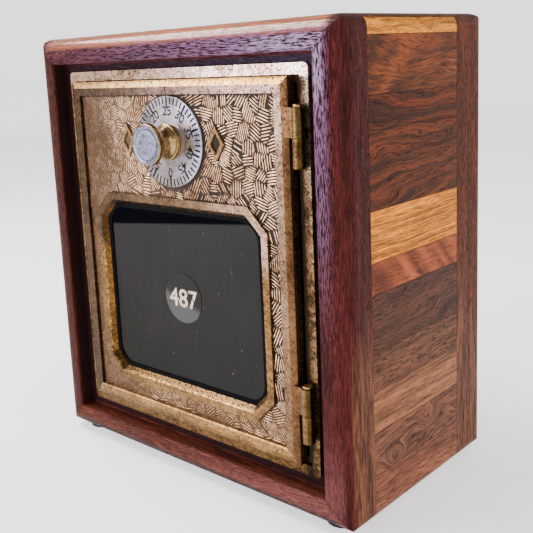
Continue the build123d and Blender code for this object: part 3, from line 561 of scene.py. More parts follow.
def worn_and_lit_front(paint, colour, dark, tone, pore, on_front, from_side):
    """Paint shade into the rebate and under the bottom rail, wear the top edge pale, gloss the face of a
    front length, and paint a sheen and light onto it.
    """
    from_end = case_high.z - case_middle - paint.size_of(paint.z - case_middle)
    # Painted shade in the rebate: its inner faces are made near black, and dark purple along the top
    # shoulder.
    depth = paint.step(paint.y, front_y + 0.3, front_y + 2.0)
    for reach in (from_side, from_end):
        depth = depth * paint.step(reach, rebate_land - 0.7, rebate_land - 0.2)
    shoulder = paint.step(paint.z, rebate_top - 12.0, rebate_top) * paint.step(paint.x, -60.0, 70.0)
    hollow = paint.mix(rebate_shade_colour, shoulder_shade_colour, shoulder)
    colour = paint.mix(colour, hollow, depth * 0.85)
    inwards = paint.step(from_side, 4.0, 9.0)
    rail_top = inwards * paint.step(paint.z, case_high.z - 4.5, case_high.z - 2.5)
    # The rounded top edge is rubbed pale, and painted lighter towards the right as painted light.
    worn_and_lit = (tone * 0.7 + 0.3) * (paint.step(paint.x, -80.0, 0.0) * 0.4 + 0.6)
    colour = paint.mix(colour, worn_colour, rail_top * worn_and_lit)
    # Painted light on the foot of the front, lighter towards the right; the pores stay darker.
    lit_low_right = on_front * paint.step(paint.x, -30.0, 80.0) * paint.step(paint.z, 45.0, 12.0)
    colour = paint.mix(colour, foot_light_colour, lit_low_right * (1.0 - pore * 0.5) * 0.36)
    # Painted shade along the underside of the bottom rail.
    rail_underside_shade = inwards * paint.step(paint.z, case_low.z + 5.0, case_low.z + 2.0)
    colour = paint.mix(colour, dark, rail_underside_shade * 0.9)
    # Towards the top right the glossy face gets a painted lavender sheen in its colour, besides its clear
    # coat.
    top_right = paint.step(paint.x, -75.0, 66.0) * paint.step(paint.z, 62.0, 178.0)
    flat_part = paint.larger(inwards, paint.step(from_side, 4.2, 7.2))
    polish_and_sheen = on_front * flat_part * top_right * (1.0 - pore)
    colour = paint.mix(colour, painted_sheen_colour, polish_and_sheen * 0.6)
    joint = paint.step(paint.size_of(from_side - from_end), 0.28, 0.08)
    glossy = paint.larger(polish_and_sheen * 0.4, rail_top * (1.0 - pore * 0.6) * 0.6)
    paint.set(Coat_Weight=glossy * (1.0 - joint), Coat_Roughness=0.11)
    return paint.mix(colour, dark, joint * on_front * 0.85)


back_colour = (0.104, 0.022, 0.007)
front_colours = {
    "left": (0.062, 0.011, 0.005),
    "right": (0.074, 0.012, 0.010),
    "top": (0.078, 0.016, 0.020),
    "bottom": (0.106, 0.024, 0.013),
}
for number, (side, colour) in enumerate(front_colours.items()):
    grain = "Z" if side in ("left", "right") else "X"
    front = edging_paint("edging_front_" + side, grain, colour, 3.0 + 8.7 * number, True)
    eased("front_edging_" + side, front, 0.18)
    back = edging_paint("edging_back_" + side, grain, back_colour, 41.0 + 6.1 * number)
    eased("back_edging_" + side, back, 0.18)
print("eight lengths of edging, front face at", round(front_y, 2), "mm")

# %% [markdown]
# ## Brass
#
# The door and its frame are sand cast brass, more than a century of handling old. The flats
# are rubbed pale and sandy, the low places keep a brown skin, and the whole surface has the
# fine grit of the mould. One function paints them: two sizes of blotch for the tarnish, a
# speckle for the grit, and a depth mask that keeps whatever lies low dark, which in the frame's
# slots also paints shade. It can paint the door's left side darker as painted shade. Turned
# pieces are yellower, with hardly any grit.

# %% Paint brass
def brass_paint(name, pale, mid, brown, seed, grit=0.5, rough=0.36, low=None, blotch=0.5, left_shade=0.0,
                touch=None, bare=None, turned=None, thinned=0.0):
    """Aged brass. low is three depths in mm: where the surface is brown, where it is bare in
    front of that, and where it is bare again behind. The argument for the left side is how much
    darker and browner the door's left side is painted, as painted shade, and thinned how much of
    the brown skin is gone there and at the foot. touch is a function that lists tints, each with
    its mask, some of them painted light and shade; bare and turned are functions that mask where
    the skin never formed and where a lathe left the metal smooth."""
    paint = Paint(name)
    place = paint.at(paint.x + seed, paint.y, paint.z)
    cloud = paint.noise(place, 0.055, 4.0, 0.62)
    patch = paint.noise(place, 0.45, 3.0, 0.6)
    speck = paint.noise(place, 1.9, 2.0, 0.7)
    tone = (cloud - 0.5) * (1.6 * blotch) + (patch - 0.5) * (1.3 * blotch) + 0.55
    tone = tone + (speck - 0.5) * (1.5 * grit)
    # Painted shade: the door's left side is made darker and browner.
    if left_shade:
        tone = tone - paint.step(paint.x, -15.0, -62.0) * left_shade
    colour = paint.ramp(tone, (0.1, brown), (0.45, mid), (0.85, pale))
    if touch:
        for mask, tint in touch(paint, patch * 0.6 + speck * 0.4):
            colour = paint.mix(colour, tint, mask, "MULTIPLY")
    pits = paint.step(paint.noise(place, 1.2, 1.0, 0.5), 0.60, 0.68) * grit
    if low:
        skin = paint.step(paint.y, low[1], low[0]) * paint.step(paint.y, low[2] + 0.3, low[2])
        at_left = paint.step(paint.x, 12.0, -45.0)
        at_foot = paint.step(paint.z, 46.0, 34.0) * 0.7
        skin = skin * (1.0 - paint.larger(at_left, at_foot) * thinned)
        if bare:
            skin = skin * (1.0 - bare(paint))
        pits = paint.larger(pits, skin)
    if turned:
        smooth = turned(paint)
        pits = pits * (1.0 - smooth)
        rough = rough - smooth * 0.16
    colour = paint.mix(colour, scaled(brown, 0.3), pits)
    paint.set(Base_Color=colour, Metallic=0.88 - pits * 0.75, Specular_IOR_Level=0.15)
    paint.set(Roughness=(patch - 0.5) * 0.25 + pits * 0.3 + rough)
    paint.bump(speck * 0.7 + patch * 0.5 - pits, 0.14 * grit + 0.01)
    return paint.material


sandy = ((0.50, 0.32, 0.17), (0.29, 0.165, 0.068), (0.085, 0.042, 0.016))
rubbed = ((0.34, 0.205, 0.095), (0.185, 0.100, 0.038), (0.060, 0.030, 0.012))
golden = ((0.46, 0.28, 0.095), (0.23, 0.125, 0.038), (0.065, 0.032, 0.010))
rosy = ((0.95, 0.64, 0.40), (0.50, 0.28, 0.15), (0.12, 0.054, 0.026))
print("brass painter ready")

# %% [markdown]
# ## Door frame and door plate
#
# Both castings come from the construction with eased edges. The door plate's low field gets the
# brown skin, so the rim and the border stand out pale around it. Light and shade are painted on
# the sides of the border and the rim: the bevel along the top is painted light, the left side is
# painted in shade, and the inner lip along the bottom has a painted highlight. The frame is
# painted darker below its top edge, with a painted shadow of the door beside and below it, and
# its top right corner is painted palest. A distance to the door's edge and one to the window's
# make the masks.

# %% Where things are on the door
plate_low, plate_high = (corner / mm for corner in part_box("door_plate"))
door_low = Vector((-61.8, 0, plate_low.z))
door_high = Vector((59.2, 0, plate_high.z))
bevel_width, field_margin = 2.6, 5.7
window_middle = Vector((-1.3, 0, 76.2))
window_half = Vector((49.3, 0, 42.0))
window_chamfer = 9.3
rim_width = 3.0
dial_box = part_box("dial")
dial_centre = (dial_box[0] + dial_box[1]) / 2 / mm
dial_radius = (dial_box[1].x - dial_box[0].x) / 2 / mm
hinge_axis = (63.6, -41.95)
flange_front = -39.25
field_plane = -41.45
print("door plate starts at", round(plate_low.y, 2), "mm")

# %% Tints and painted light for the castings
def barrel_mask(paint):
    """The hinge barrels, which were turned and have darkened more evenly."""
    across = paint.x - hinge_axis[0]
    deep = paint.y - hinge_axis[1]
    return paint.step((across * across + deep * deep) ** 0.5, 2.75, 2.45)


def shaded_barrels(paint, barrels):
    """The side of the barrels that turns from the door is painted in shade, nearly black and olive."""
    away = paint.step(paint.x, hinge_axis[0] + 0.4, hinge_axis[0] + 1.3)
    return barrels * away, (0.40, 0.40, 0.32)


def frame_light_and_tints(paint, grain):
    """Tints for the door frame, mostly painted light and shade; its top right corner is painted palest."""
    top = paint.step(paint.z, door_high.z - 1.0, door_high.z + 0.5)
    to_right = paint.step(paint.x, -22.0, 56.0)
    barrels = barrel_mask(paint)
    rest = (1.0 - top) * (1.0 - barrels)
    strip = rest * paint.step(paint.x, door_high.x, door_high.x + 2.0)
    outer = paint.step(paint.x + grain * 2.0, door_high.x + 4.2, door_high.x + 9.0)
    return (
        # Painted shade: below its top edge the frame is darker.
        (rest, (0.52, 0.46, 0.34)),
        # Painted shade along the strip below the door.
        (rest * paint.step(paint.z, door_low.z, door_low.z - 1.2), (0.60, 0.57, 0.50)),
        # Beside the door the strip has a painted shadow of the door, a painted reflection further out and
        # up, and dark speckle.
        (strip * (1.0 - outer), (0.10, 0.10, 0.11)),
        (strip * outer * paint.step(paint.z, 90.0, 150.0), (1.5, 2.1, 3.6)),
        (strip * paint.step(grain, 0.52, 0.46), (0.55, 0.53, 0.52)),
        # Painted light on the top edge: cooler on the left, and a very light painted reflection towards
        # the right.
        (top * (1.0 - to_right), (0.74, 0.80, 1.0)),
        (top * to_right, (3.4, 3.8, 6.0)),
        (barrels, (0.40, 0.37, 0.26)),
        shaded_barrels(paint, barrels),
    )


def window_distance(paint):
    """How far outside the eight-sided rim a point is, in mm; it is below zero inside."""
    across = paint.size_of(paint.x - window_middle.x) - window_half.x
    up = paint.size_of(paint.z - window_middle.z) - window_half.z
    corner = (across + up + window_chamfer) / math.sqrt(2)
    return paint.larger(paint.larger(across, up), corner)


def opening_mask(paint):
    return paint.step(window_distance(paint), 0.0, -0.25)


def plate_light_and_tints(paint, grain):
    """Tints for the door plate, side by side, most of them painted light and shade."""
    barrels = barrel_mask(paint)
    beside = paint.smaller(paint.x - door_low.x, door_high.x - paint.x)
    above = paint.smaller(paint.z - door_low.z, door_high.z - paint.z)
    edge = paint.smaller(beside, above)
    border = paint.step(edge, field_margin + 0.1, field_margin - 0.1) * (1.0 - barrels)
    bevel = paint.step(edge, bevel_width + 0.1, bevel_width - 0.1)
    flat = border * (1.0 - bevel)
    upright = paint.step(above - beside, -0.06, 0.06)
    level = 1.0 - upright
    upper = paint.step(paint.z, 90.0, 100.0)
    lower = 1.0 - upper
    right = paint.step(paint.x, -6.0, 6.0)
    left = 1.0 - right
    far_right = paint.step(paint.x, -30.0, 60.0)
    rim_right = paint.step(paint.x, -4.0, 44.0)
    high_up = paint.step(paint.z, 60.0, 130.0)
    top_bevel, top_flat = bevel * border * level * upper, flat * level * upper
    right_flat = flat * upright * right
    foot = border * level * lower
    lip = foot * paint.step(edge, field_margin - 0.9, field_margin - 0.5)
    window = window_distance(paint)
    rim = paint.step(window, 0.15, -0.1)
    top_rim, low_rim = rim * upper, rim * lower
    rim_bevel = paint.step(window, 0.1 - rim_width, -0.1 - rim_width)
    ragged_lit_edge = paint.step(grain + window * 0.16, -0.05, 0.06)
    wall = paint.step(paint.y, field_plane - 0.85, field_plane - 0.15) * rim
    left_wall = wall * paint.step(paint.x, -38.0, -42.0)
    to_dial = paint.x - dial_centre.x
    radius = (to_dial * to_dial + (paint.z - dial_centre.z) ** 2.0) ** 0.5
    dial_shadow = paint.step(radius, dial_radius + 1.3, dial_radius + 0.2)
    mitre = paint.step(paint.size_of(above - beside), 0.16, 0.03) * border
    shady = paint.larger(level * upper, upright * left)
    border_shadow = paint.step(edge, field_margin + 1.0, field_margin + 0.5) * (1.0 - border) * shady
    return (
        # Painted shadow of the border along the top and left edges of the field.
        (border_shadow, (0.14, 0.12, 0.10)),
        # Painted light on the top of the border: the bevel light and golden to the right, the flat darker
        # on the left and a pale bluish painted reflection on its right.
        (top_bevel, (3.6, 3.5, 3.0)),
        (top_bevel * far_right, (1.2, 1.08, 0.72)),
        (top_flat * (1.0 - far_right), (0.34, 0.35, 0.50)),
        (top_flat * far_right, (1.8, 2.1, 3.6)),
        # Painted shade on the left side of the border and on the right bevel.
        (border * upright * left, (0.24, 0.20, 0.125)),
        (border * upright * right * bevel, (0.50, 0.40, 0.34)),
        # Painted reflection on the right flat of the border, paler and bluer up high.
        (right_flat * (1.0 - high_up), (0.72, 0.72, 0.88)),
        (right_flat * high_up, (1.10, 1.26, 1.85)),
        # Painted light and shade along the foot: the flat lighter, the bevel and the left darker, and a
        # painted highlight on the inner lip.
        (foot, (1.30, 1.20, 0.95)),
        (foot * bevel, (0.70, 0.66, 0.56)),
        (foot * left, (0.75, 0.75, 0.70)),
        (lip, (2.6, 2.6, 2.6)),
        # Painted light and shade on the rim: dark on the top left, a pale bluish painted reflection on the
        # top right, darker low down, and a painted highlight along the ragged lower inner bevel.
        (top_rim * (1.0 - rim_right), (0.34, 0.34, 0.33)),
        (top_rim * rim_right, (1.3, 1.4, 2.1)),
        (low_rim * left, (0.80, 0.80, 0.68)),
        (low_rim * (1.0 - rim_bevel), (0.80, 0.74, 0.60)),
        (rim_bevel * lower * ragged_lit_edge, (2.3, 2.0, 1.3)),
        # Painted shade on the rim's inner walls: golden brown on the left, dark on the top and in patches
        # elsewhere.
        (left_wall, (0.85, 0.68, 0.42)),
        (wall * (1.0 - left_wall) * (upper + grain), (0.25, 0.22, 0.20)),
        # Painted shadow of the dial on the field, to its right.
        (dial_shadow * paint.step(to_dial, -4.0, 12.0), (0.05, 0.05, 0.05)),
        (mitre, (0.35, 0.33, 0.30)),
        (barrels, (0.56, 0.55, 0.43)),
        shaded_barrels(paint, barrels),
    )


print("tints ready")

# %% Door castings
behind_everything = 60.0
# Deeper than the flange's front, in its slots and behind the door, the frame gets the brown skin and
# painted shade.
flange_shade_depths = (flange_front + 1.6, flange_front + 0.3, behind_everything)
flange_paint = brass_paint(
    "cast_brass_frame", *sandy, 5.0, grit=1.0, rough=0.34, low=flange_shade_depths, blotch=1.1,
    touch=frame_light_and_tints, turned=barrel_mask,
)
eased("door_frame", flange_paint, 0.22)
plate_depths = (field_plane - 0.1, field_plane - 0.55, field_plane + 0.45)
plate_paint = brass_paint(
    "cast_brass_plate", *rubbed, 31.0, grit=0.8, rough=0.27, low=plate_depths, blotch=0.8,
    left_shade=0.15, touch=plate_light_and_tints, bare=opening_mask, turned=barrel_mask, thinned=0.5,
)
eased("door_plate", plate_paint, 0.22)
turned_paint = brass_paint("turned_brass", *golden, 57.0, grit=0.12, rough=0.22, blotch=0.35)
for node in ("hinge_pins", "frame_screws"):
    eased(node, turned_paint, 0.12)
print("castings done")

# %% [markdown]
# ## Hatching
#
# The field between the border and the window is covered with small patches of parallel ridges,
# each patch turned another way, as if a graver had shaded them by hand. Drawing them as a bump
# would leave flat light on them, and modelling each by hand would take a day. So the script
# scatters patch centres, gives each patch a direction, and rules lines across it that stop
# where a neighbouring patch is nearer. Geometry Nodes then turn each line into a low round
# ridge that tapers at its ends, and press the ridges flat where the casting is worn smooth.

# %% Where the ridges run
ornament_offset = 25.2
ornament_half = Vector((4.5, 0, 7.0))


def field_clearance(x, z):
    """How far inside the hatched field a point is, in mm; below zero is outside it."""
    edge = np.minimum(
        np.minimum(x - door_low.x - field_margin, door_high.x - field_margin - x),
        np.minimum(z - door_low.z - field_margin, door_high.z - field_margin - z),
    )
    across = np.abs(x - window_middle.x) - window_half.x
    up = np.abs(z - window_middle.z) - window_half.z
    corner = (across + up + window_chamfer) / math.sqrt(2)
    window = np.maximum(np.maximum(across, up), corner)
    in_shadow = np.clip((x - z + dial_centre.z - dial_centre.x) / dial_radius, 0, 1)
    dial = np.hypot(x - dial_centre.x, z - dial_centre.z) - dial_radius - 0.3 - 0.9 * in_shadow
    clear = np.minimum(np.minimum(edge - 0.25, window + 0.1), dial)
    for side in (-1, 1):
        run = np.abs(x - dial_centre.x - side * ornament_offset) / ornament_half.x
        rise = np.abs(z - dial_centre.z) / ornament_half.z
        clear = np.minimum(clear, (run + rise - 1.0) * 3.7)
    return clear


def hatch_lines(patch_size, pitch, step, seed):
    """Ruled lines in patches, as lists of points in mm across the door."""
    dice = np.random.default_rng(seed)
    columns = int((door_high.x - door_low.x) / patch_size) + 2
    rows = int((door_high.z - door_low.z) / patch_size) + 2
    centres = np.array(
        [
            (door_low.x + (c + 0.5 * (r % 2)) * patch_size, door_low.z + r * patch_size)
            for r in range(rows)
            for c in range(columns)
        ]
    )
    centres += dice.uniform(-0.34, 0.34, centres.shape) * patch_size
    turns = dice.uniform(0, math.pi, len(centres))
    lines = []
    reach = patch_size * 1.1
    for number, ((cx, cz), turn) in enumerate(zip(centres, turns)):
        along = np.array((math.cos(turn), math.sin(turn)))
        across = np.array((-along[1], along[0]))
        spacing = pitch * dice.uniform(0.85, 1.15)
        for offset in np.arange(-reach, reach, spacing):
            run = np.arange(-reach, reach, step)
            bow = dice.normal(0, 0.10) * (run / reach) ** 2
            points = (cx, cz) + np.outer(run, along) + np.outer(offset + bow, across)
            gaps = np.hypot(points[:, None, 0] - centres[:, 0], points[:, None, 1] - centres[:, 1])
            own = gaps[:, number].copy()
            gaps[:, number] = np.inf
            inside = (gaps.min(1) - own > -0.1) & (field_clearance(*points.T) > 0)
            lines += kept_runs(points, inside, dice)
    return lines


def kept_runs(points, inside, dice):
    """Split a ruled line into its stretches inside the patch, and drop crumbs and a few others."""
    runs = []
    current = []
    for point, keep in zip(points, inside):
        if keep:
            current.append(point)
            continue
        runs.append(current)
        current = []
    runs.append(current)
    return [run for run in runs if len(run) > 3 and dice.random() > 0.04]


lines = hatch_lines(patch_size=5.4, pitch=1.06, step=0.45, seed=8)
print(len(lines), "ridges,", sum(len(line) for line in lines), "points")

# %% Trees that make geometry
def new_tree(name, inputs):
    """An empty Geometry Nodes tree with named inputs. Returns the graph and its input values."""
    tree = bpy.data.node_groups.new(name, "GeometryNodeTree")
    tree.interface.new_socket("Geometry", in_out="INPUT", socket_type="NodeSocketGeometry")
    tree.interface.new_socket("Geometry", in_out="OUTPUT", socket_type="NodeSocketGeometry")
    for label, kind in inputs.items():
        tree.interface.new_socket(label, in_out="INPUT", socket_type="NodeSocket" + kind)
    graph = Graph(tree)
    entry = tree.nodes.new("NodeGroupInput")
    graph.inputs = {socket.name: Value(graph, socket) for socket in entry.outputs if socket.name}
    return graph


def finish_tree(graph, geometry):
    """End the tree with real geometry and its material."""
    real = graph.node("GeometryNodeRealizeInstances", {}, {0: geometry})
    sockets = {0: real, "Material": graph.inputs["Material"]}
    painted = graph.node("GeometryNodeSetMaterial", {}, sockets)
    leave = graph.tree.nodes.new("NodeGroupOutput")
    graph.tree.links.new(painted.socket, leave.inputs[0])


def grow(mesh, graph, values):
    """Run a tree on a mesh and return the plain mesh that it makes."""
    holder = bpy.data.objects.new("holder", mesh)
    bpy.context.scene.collection.objects.link(holder)
    modifier = holder.modifiers.new(graph.tree.name, "NODES")
    modifier.node_group = graph.tree
    for item in graph.tree.interface.items_tree:
        if item.in_out == "INPUT" and item.name in values:
            modifier[item.identifier] = values[item.name]
    result = baked_mesh(holder)
    bpy.data.objects.remove(holder)
    return result


print("tree helpers ready")

# %% Ridges from the lines
def line_mesh(lines, name):
    """The ruled lines as a mesh of bare edges on the field's plane."""
    points = []
    edges = []
    for line in lines:
        first = len(points)
        points += [(x * mm, field_plane * mm, z * mm) for x, z in line]
        edges += [(first + i, first + i + 1) for i in range(len(line) - 1)]
    mesh = bpy.data.meshes.new(name)
    mesh.from_pydata(points, edges, [])
    return mesh


def ridge_tree():
    """Round ridges along bare edges, pressed towards the field, most of all low on the left."""
    inputs = {"Radius": "Float", "Spacing": "Float", "Field": "Float", "Material": "Material"}
    graph = new_tree("hatch_ridges", inputs)
    curve = graph.node("GeometryNodeMeshToCurve", {}, {0: graph.inputs["Geometry"]})
    sockets = {"Curve": curve, "Length": graph.inputs["Spacing"]}
    even = graph.node("GeometryNodeResampleCurve", {"mode": "LENGTH"}, sockets)
    middle = graph.maths("PINGPONG", graph.node("GeometryNodeSplineParameter"), 0.5)
    sockets = {"Resolution": 6, "Radius": graph.inputs["Radius"]}
    ring = graph.node("GeometryNodeCurvePrimitiveCircle", {"mode": "RADIUS"}, sockets)
    taper = graph.step(middle, 0.0, 0.10, 0.55, 1.0)
    sockets = {"Curve": even, "Profile Curve": ring, "Scale": taper, "Fill Caps": True}
    tubes = graph.node("GeometryNodeCurveToMesh", {}, sockets)
    place = graph.node("GeometryNodeInputPosition")
    x, y, z = graph.split(place)
    corner = graph.step(x + z * 0.12, -0.050, 0.020, 0.42, 1.0)
    patchy = graph.step(graph.noise(place, 70.0), 0.34, 0.48, 0.6, 1.0)
    field = graph.inputs["Field"]
    moved = graph.at(x, (y - field) * corner * patchy + field, z)
    worn = graph.node("GeometryNodeSetPosition", {}, {"Geometry": tubes, "Position": moved})
    finish_tree(graph, graph.node("GeometryNodeSetShadeSmooth", {}, {"Geometry": worn}))
    return graph


def ridge_touch(paint, grain):
    """The hatching is browner along the foot of the door, and greyer in its top left corner."""
    top_left = paint.step(paint.x, -15.0, -45.0) * paint.step(paint.z, 105.0, 130.0)
    return (
        (paint.step(paint.z, 46.0, 30.0), (0.58, 0.53, 0.46)),
        (top_left, (0.76, 0.88, 1.0)),
    )


# The hatching is painted in shade towards the door's left, darker and browner there.
ridge_paint = brass_paint(
    "hatched_brass", *rosy, 71.0, grit=0.7, rough=0.30, low=(field_plane, field_plane - 0.22, 0.0),
    blotch=0.9, left_shade=0.58, touch=ridge_touch, thinned=0.65,
)
ridge_sizes = {"Radius": 0.34 * mm, "Spacing": 0.9 * mm, "Field": field_plane * mm}
ridges = grow(line_mesh(lines, "hatch_lines"), ridge_tree(), {**ridge_sizes, "Material": ridge_paint})
link_piece("hatch_ridges", ridges, "door", ridge_paint)
print("ridges have", len(ridges.polygons), "faces")

# %% [markdown]
# ## Window
#
# The pane is smoked glass: nearly black, with a clean gloss that mirrors the pale table, faint
# upright streaks from wiping and a few specks of dust. A black bead seals it. The box number
# sits on a small dark disc in gold figures. The number here is a made-up one.

# %% Glass, bead and feet
def glass_paint():
    """Smoked glass, which the rim keeps in shade along the top and down the left."""
    paint = Paint("smoked_glass")
    wiped = paint.noise(paint.at(paint.x * 0.9, 0.0, paint.z * 0.02), 1.0, 4.0, 0.6)
    film = paint.noise(paint.place, 0.03)
    tone = wiped * 0.6 + film * 0.4
    tint = paint.ramp(tone, (0.3, (0.006, 0.006, 0.005)), (0.7, (0.014, 0.013, 0.011)))
    dust = paint.step(paint.noise(paint.place, 0.62, 0.0), 0.85, 0.88)
    tint = paint.mix(tint, (0.20, 0.18, 0.15), dust * 0.25)
    under_rim = paint.step(paint.z - paint.x * 0.088, 106.9, 108.0)
    beside_rim = paint.step(paint.x, -43.2, -45.4)
    clear = 1.0 - paint.larger(under_rim, beside_rim)
    to_top_right = paint.step(paint.x + paint.z, 0.0, 110.0)
    paint.set(Base_Color=paint.mix((0.002, 0.002, 0.003), tint, clear), Roughness=wiped * 0.05 + 0.02)
    paint.set(Coat_Weight=clear * (to_top_right * 0.06 + 0.14), Coat_Roughness=0.04)
    paint.set(Specular_IOR_Level=0.0)
    return paint.material


def dull_paint(name, dark, pale, roughness, grain=0.8, depth_mm=0.04, metallic=0.0, shine=0.06):
    """A plain dull finish, such as rubber, with fine mottling and grain."""
    paint = Paint(name)
    mottle = paint.noise(paint.place, 0.25, 3.0)
    fine = paint.noise(paint.place, grain * 2.0, 2.0, 0.6)
    colour = paint.ramp(mottle * 0.6 + fine * 0.4, (0.3, dark), (0.7, pale))
    paint.set(Base_Color=colour, Roughness=(fine - 0.5) * 0.2 + roughness, Metallic=metallic)
    paint.set(Specular_IOR_Level=shine)
    paint.bump(fine, depth_mm)
    return paint.material


eased("window_glass", glass_paint(), 0.2)
bead_paint = dull_paint("black_bead", (0.001, 0.001, 0.001), (0.004, 0.004, 0.004), 0.5, shine=0.02)
eased("glazing_bead", bead_paint, 0.15)
foot_paint = dull_paint("foot_rubber", (0.006, 0.006, 0.006), (0.02, 0.02, 0.02), 0.7)
eased("feet", foot_paint, 0.2)
steel_paint = dull_paint("dull_steel", (0.20, 0.19, 0.18), (0.42, 0.41, 0.39), 0.38, 1.4, 0.02, 1.0)
print("window pieces done")

# %% Number disc
figure_thickness = 0.06


def flat_text(name, body, size):
    """Figures as a plain mesh, centred on the origin, in mm, facing +Z."""
    curve = bpy.data.curves.new(name, "FONT")
    curve.body = body
    curve.size = size
    curve.extrude = figure_thickness / 2
    curve.offset = size * 0.012
    curve.resolution_u = 3
    holder = bpy.data.objects.new(name, curve)
    bpy.context.scene.collection.objects.link(holder)
    mesh = baked_mesh(holder)
    bpy.data.objects.remove(holder)
    corners = np.array([vertex.co for vertex in mesh.vertices])
    middle = (corners.min(0) + corners.max(0)) / 2
    mesh.transform(Matrix.Translation(-Vector(middle)))
    return mesh


def disc_paint():
    """A dark disc whose lower half is paler with a painted reflection of the table, up to a ragged edge.
    """
    paint = Paint("number_disc")
    slope = paint.z - disc_centre.z + (paint.x - disc_centre.x) * 0.35
    ragged = paint.noise(paint.place, 0.5, 3.0) * 3.0
    shade = paint.step(slope + ragged, -2.0, 2.5)
    paint.set(Base_Color=paint.mix((0.050, 0.052, 0.049), (0.006, 0.005, 0.005), shade))
    paint.set(Roughness=paint.noise(paint.place, 2.0) * 0.2 + 0.25, Specular_IOR_Level=0.1)
    return paint.material


def gilt_paint():
    """Gold leaf that is rubbed away in slanting streaks."""
    paint = Paint("gold_figures")
    worn = paint.noise(paint.at(paint.x * 0.9 + paint.z * 0.5, 0.0, 0.0), 0.7, 3.0, 0.6)
    stops = (0.36, (0.10, 0.07, 0.045)), (0.47, (0.50, 0.38, 0.24)), (0.7, (0.80, 0.68, 0.49))
    paint.set(Base_Color=paint.ramp(worn, *stops), Roughness=worn * 0.2 + 0.35, Metallic=0.15)
    return paint.material


stand_up = Matrix.Rotation(math.pi / 2, 4, "X")
disc_low, disc_high = (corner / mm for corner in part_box("number_disc"))
disc_centre = (disc_low + disc_high) / 2
eased("number_disc", disc_paint(), 0.05)
figure_size = 10.75
figures = flat_text("box_number", "487", figure_size)
figure_spot = Vector((disc_centre.x, disc_low.y - 0.02, disc_centre.z)) * mm
figures.transform(Matrix.Translation(figure_spot) @ stand_up @ Matrix.Scale(mm, 4))
link_piece("box_number", figures, "door", gilt_paint())
print("disc radius", round((disc_high.x - disc_low.x) / 2, 2), "mm")

# %% [markdown]
# ## Dial
#
# The dial is a nickel plated disc, turned so that its face is full of fine rings, with fifty
# engraved divisions filled with black. Every fifth one is long and has its number, which stands
# upright at the rim where it passes the index. Geometry Nodes set the marks round the rim from
# one small bar, since they only differ in angle and length; the figures are text.

# %% Dial face
dial_face = dial_box[0].y / mm


def lathe_paint(name, dark, pale, rings, seed, roughness, metallic=0.9, mottle=0.16, painted_brightness=1.0):
    """Metal turned on a lathe, with fine rings round the dial's axis. The last argument, when above
    one, paints the upper right part paler by that factor and the right side bluer: a painted reflection of
    the light."""
    paint = Paint(name)
    across = paint.x - dial_centre.x
    up = paint.z - dial_centre.z
    radius = (across * across + up * up) ** 0.5
    cut = paint.noise(paint.at(radius * rings, across * 0.03, up * 0.03 + seed), 1.0, 3.0, 0.65)
    place = paint.at(paint.x, paint.y + seed, paint.z)
    cloud = paint.noise(place, mottle, 4.0, 0.6)
    stain = paint.step(paint.noise(place, 0.55, 4.0, 0.65), 0.60, 0.72)
    colour = paint.ramp((cut - 0.5) * 0.5 + cloud, (0.3, dark), (0.7, pale))
    # Painted reflection: the upper right part is made paler and cooler, and the right side bluer still.
    if painted_brightness > 1.0:
        lit_upper_right = paint.step(up + across * 1.3, -9.0, 9.0)
        lit_tint = (painted_brightness * 0.95, painted_brightness, painted_brightness * 1.06)
        colour = paint.mix(colour, lit_tint, lit_upper_right, "MULTIPLY")
        colour = paint.mix(colour, (1.15, 1.28, 1.45), paint.step(across, 4.0, 14.0), "MULTIPLY")
    colour = paint.mix(colour, scaled(dark, 0.5), stain * 0.6)
    paint.set(Base_Color=colour, Metallic=metallic, Roughness=(cut - 0.5) * 0.22 + stain * 0.2 + roughness)
    paint.bump(cut, 0.03)
    return paint.material


nickel_dark, nickel_pale = (0.080, 0.066, 0.060), (0.25, 0.205, 0.20)
nickel_paint = lathe_paint("dial_nickel", nickel_dark, nickel_pale, 2.6, 2.0, 0.27, painted_brightness=2.1)
eased("dial", nickel_paint, 0.12)
print("dial face at", round(dial_face, 2), "mm")

# %% Dial marks
def mark_tree():
    """Bars set round a circle, every fifth one long."""
    lengths = ("Radius", "Long", "Short", "Width", "Depth")
    inputs = {"Count": "Int", **dict.fromkeys(lengths, "Float"), "Material": "Material"}
    graph = new_tree("dial_marks", inputs)
    points = graph.node("GeometryNodePoints", {}, {"Count": graph.inputs["Count"]})
    index = graph.node("GeometryNodeInputIndex")
    turn = index * (2 * math.pi) / graph.inputs["Count"]
    is_short = graph.smaller(graph.maths("MODULO", index, 5.0), 1.0)
    long, short = graph.inputs["Long"], graph.inputs["Short"]
    length = long + (short - long) * is_short
    reach = graph.inputs["Radius"] - length * 0.5
    spot = graph.at(graph.maths("SINE", turn) * reach, graph.maths("COSINE", turn) * reach, 0.0)
    placed = graph.node("GeometryNodeSetPosition", {}, {"Geometry": points, "Position": spot})
    bar = graph.node("GeometryNodeMeshCube", {}, {"Size": (1.0, 1.0, 1.0)})
    width = graph.inputs["Width"] * (1.35 - is_short * 0.35)
    size = graph.at(width, length, graph.inputs["Depth"])
    angle = graph.at(0.0, 0.0, turn * -1.0)
    sockets = {"Points": placed, "Instance": bar, "Rotation": angle, "Scale": size}
    finish_tree(graph, graph.node("GeometryNodeInstanceOnPoints", {}, sockets))
    return graph


def onto_dial(depth, turn=0.0, radius=0.0):
    """Take flat work in mm, drawn upright and facing +Z, to a place on the dial's face."""
    return (
        Matrix.Translation(Vector((dial_centre.x, depth, dial_centre.z)) * mm)
        @ stand_up
        @ Matrix.Rotation(-turn, 4, "Z")
        @ Matrix.Translation(Vector((0, radius, 0)) * mm)
        @ Matrix.Scale(mm, 4)
    )


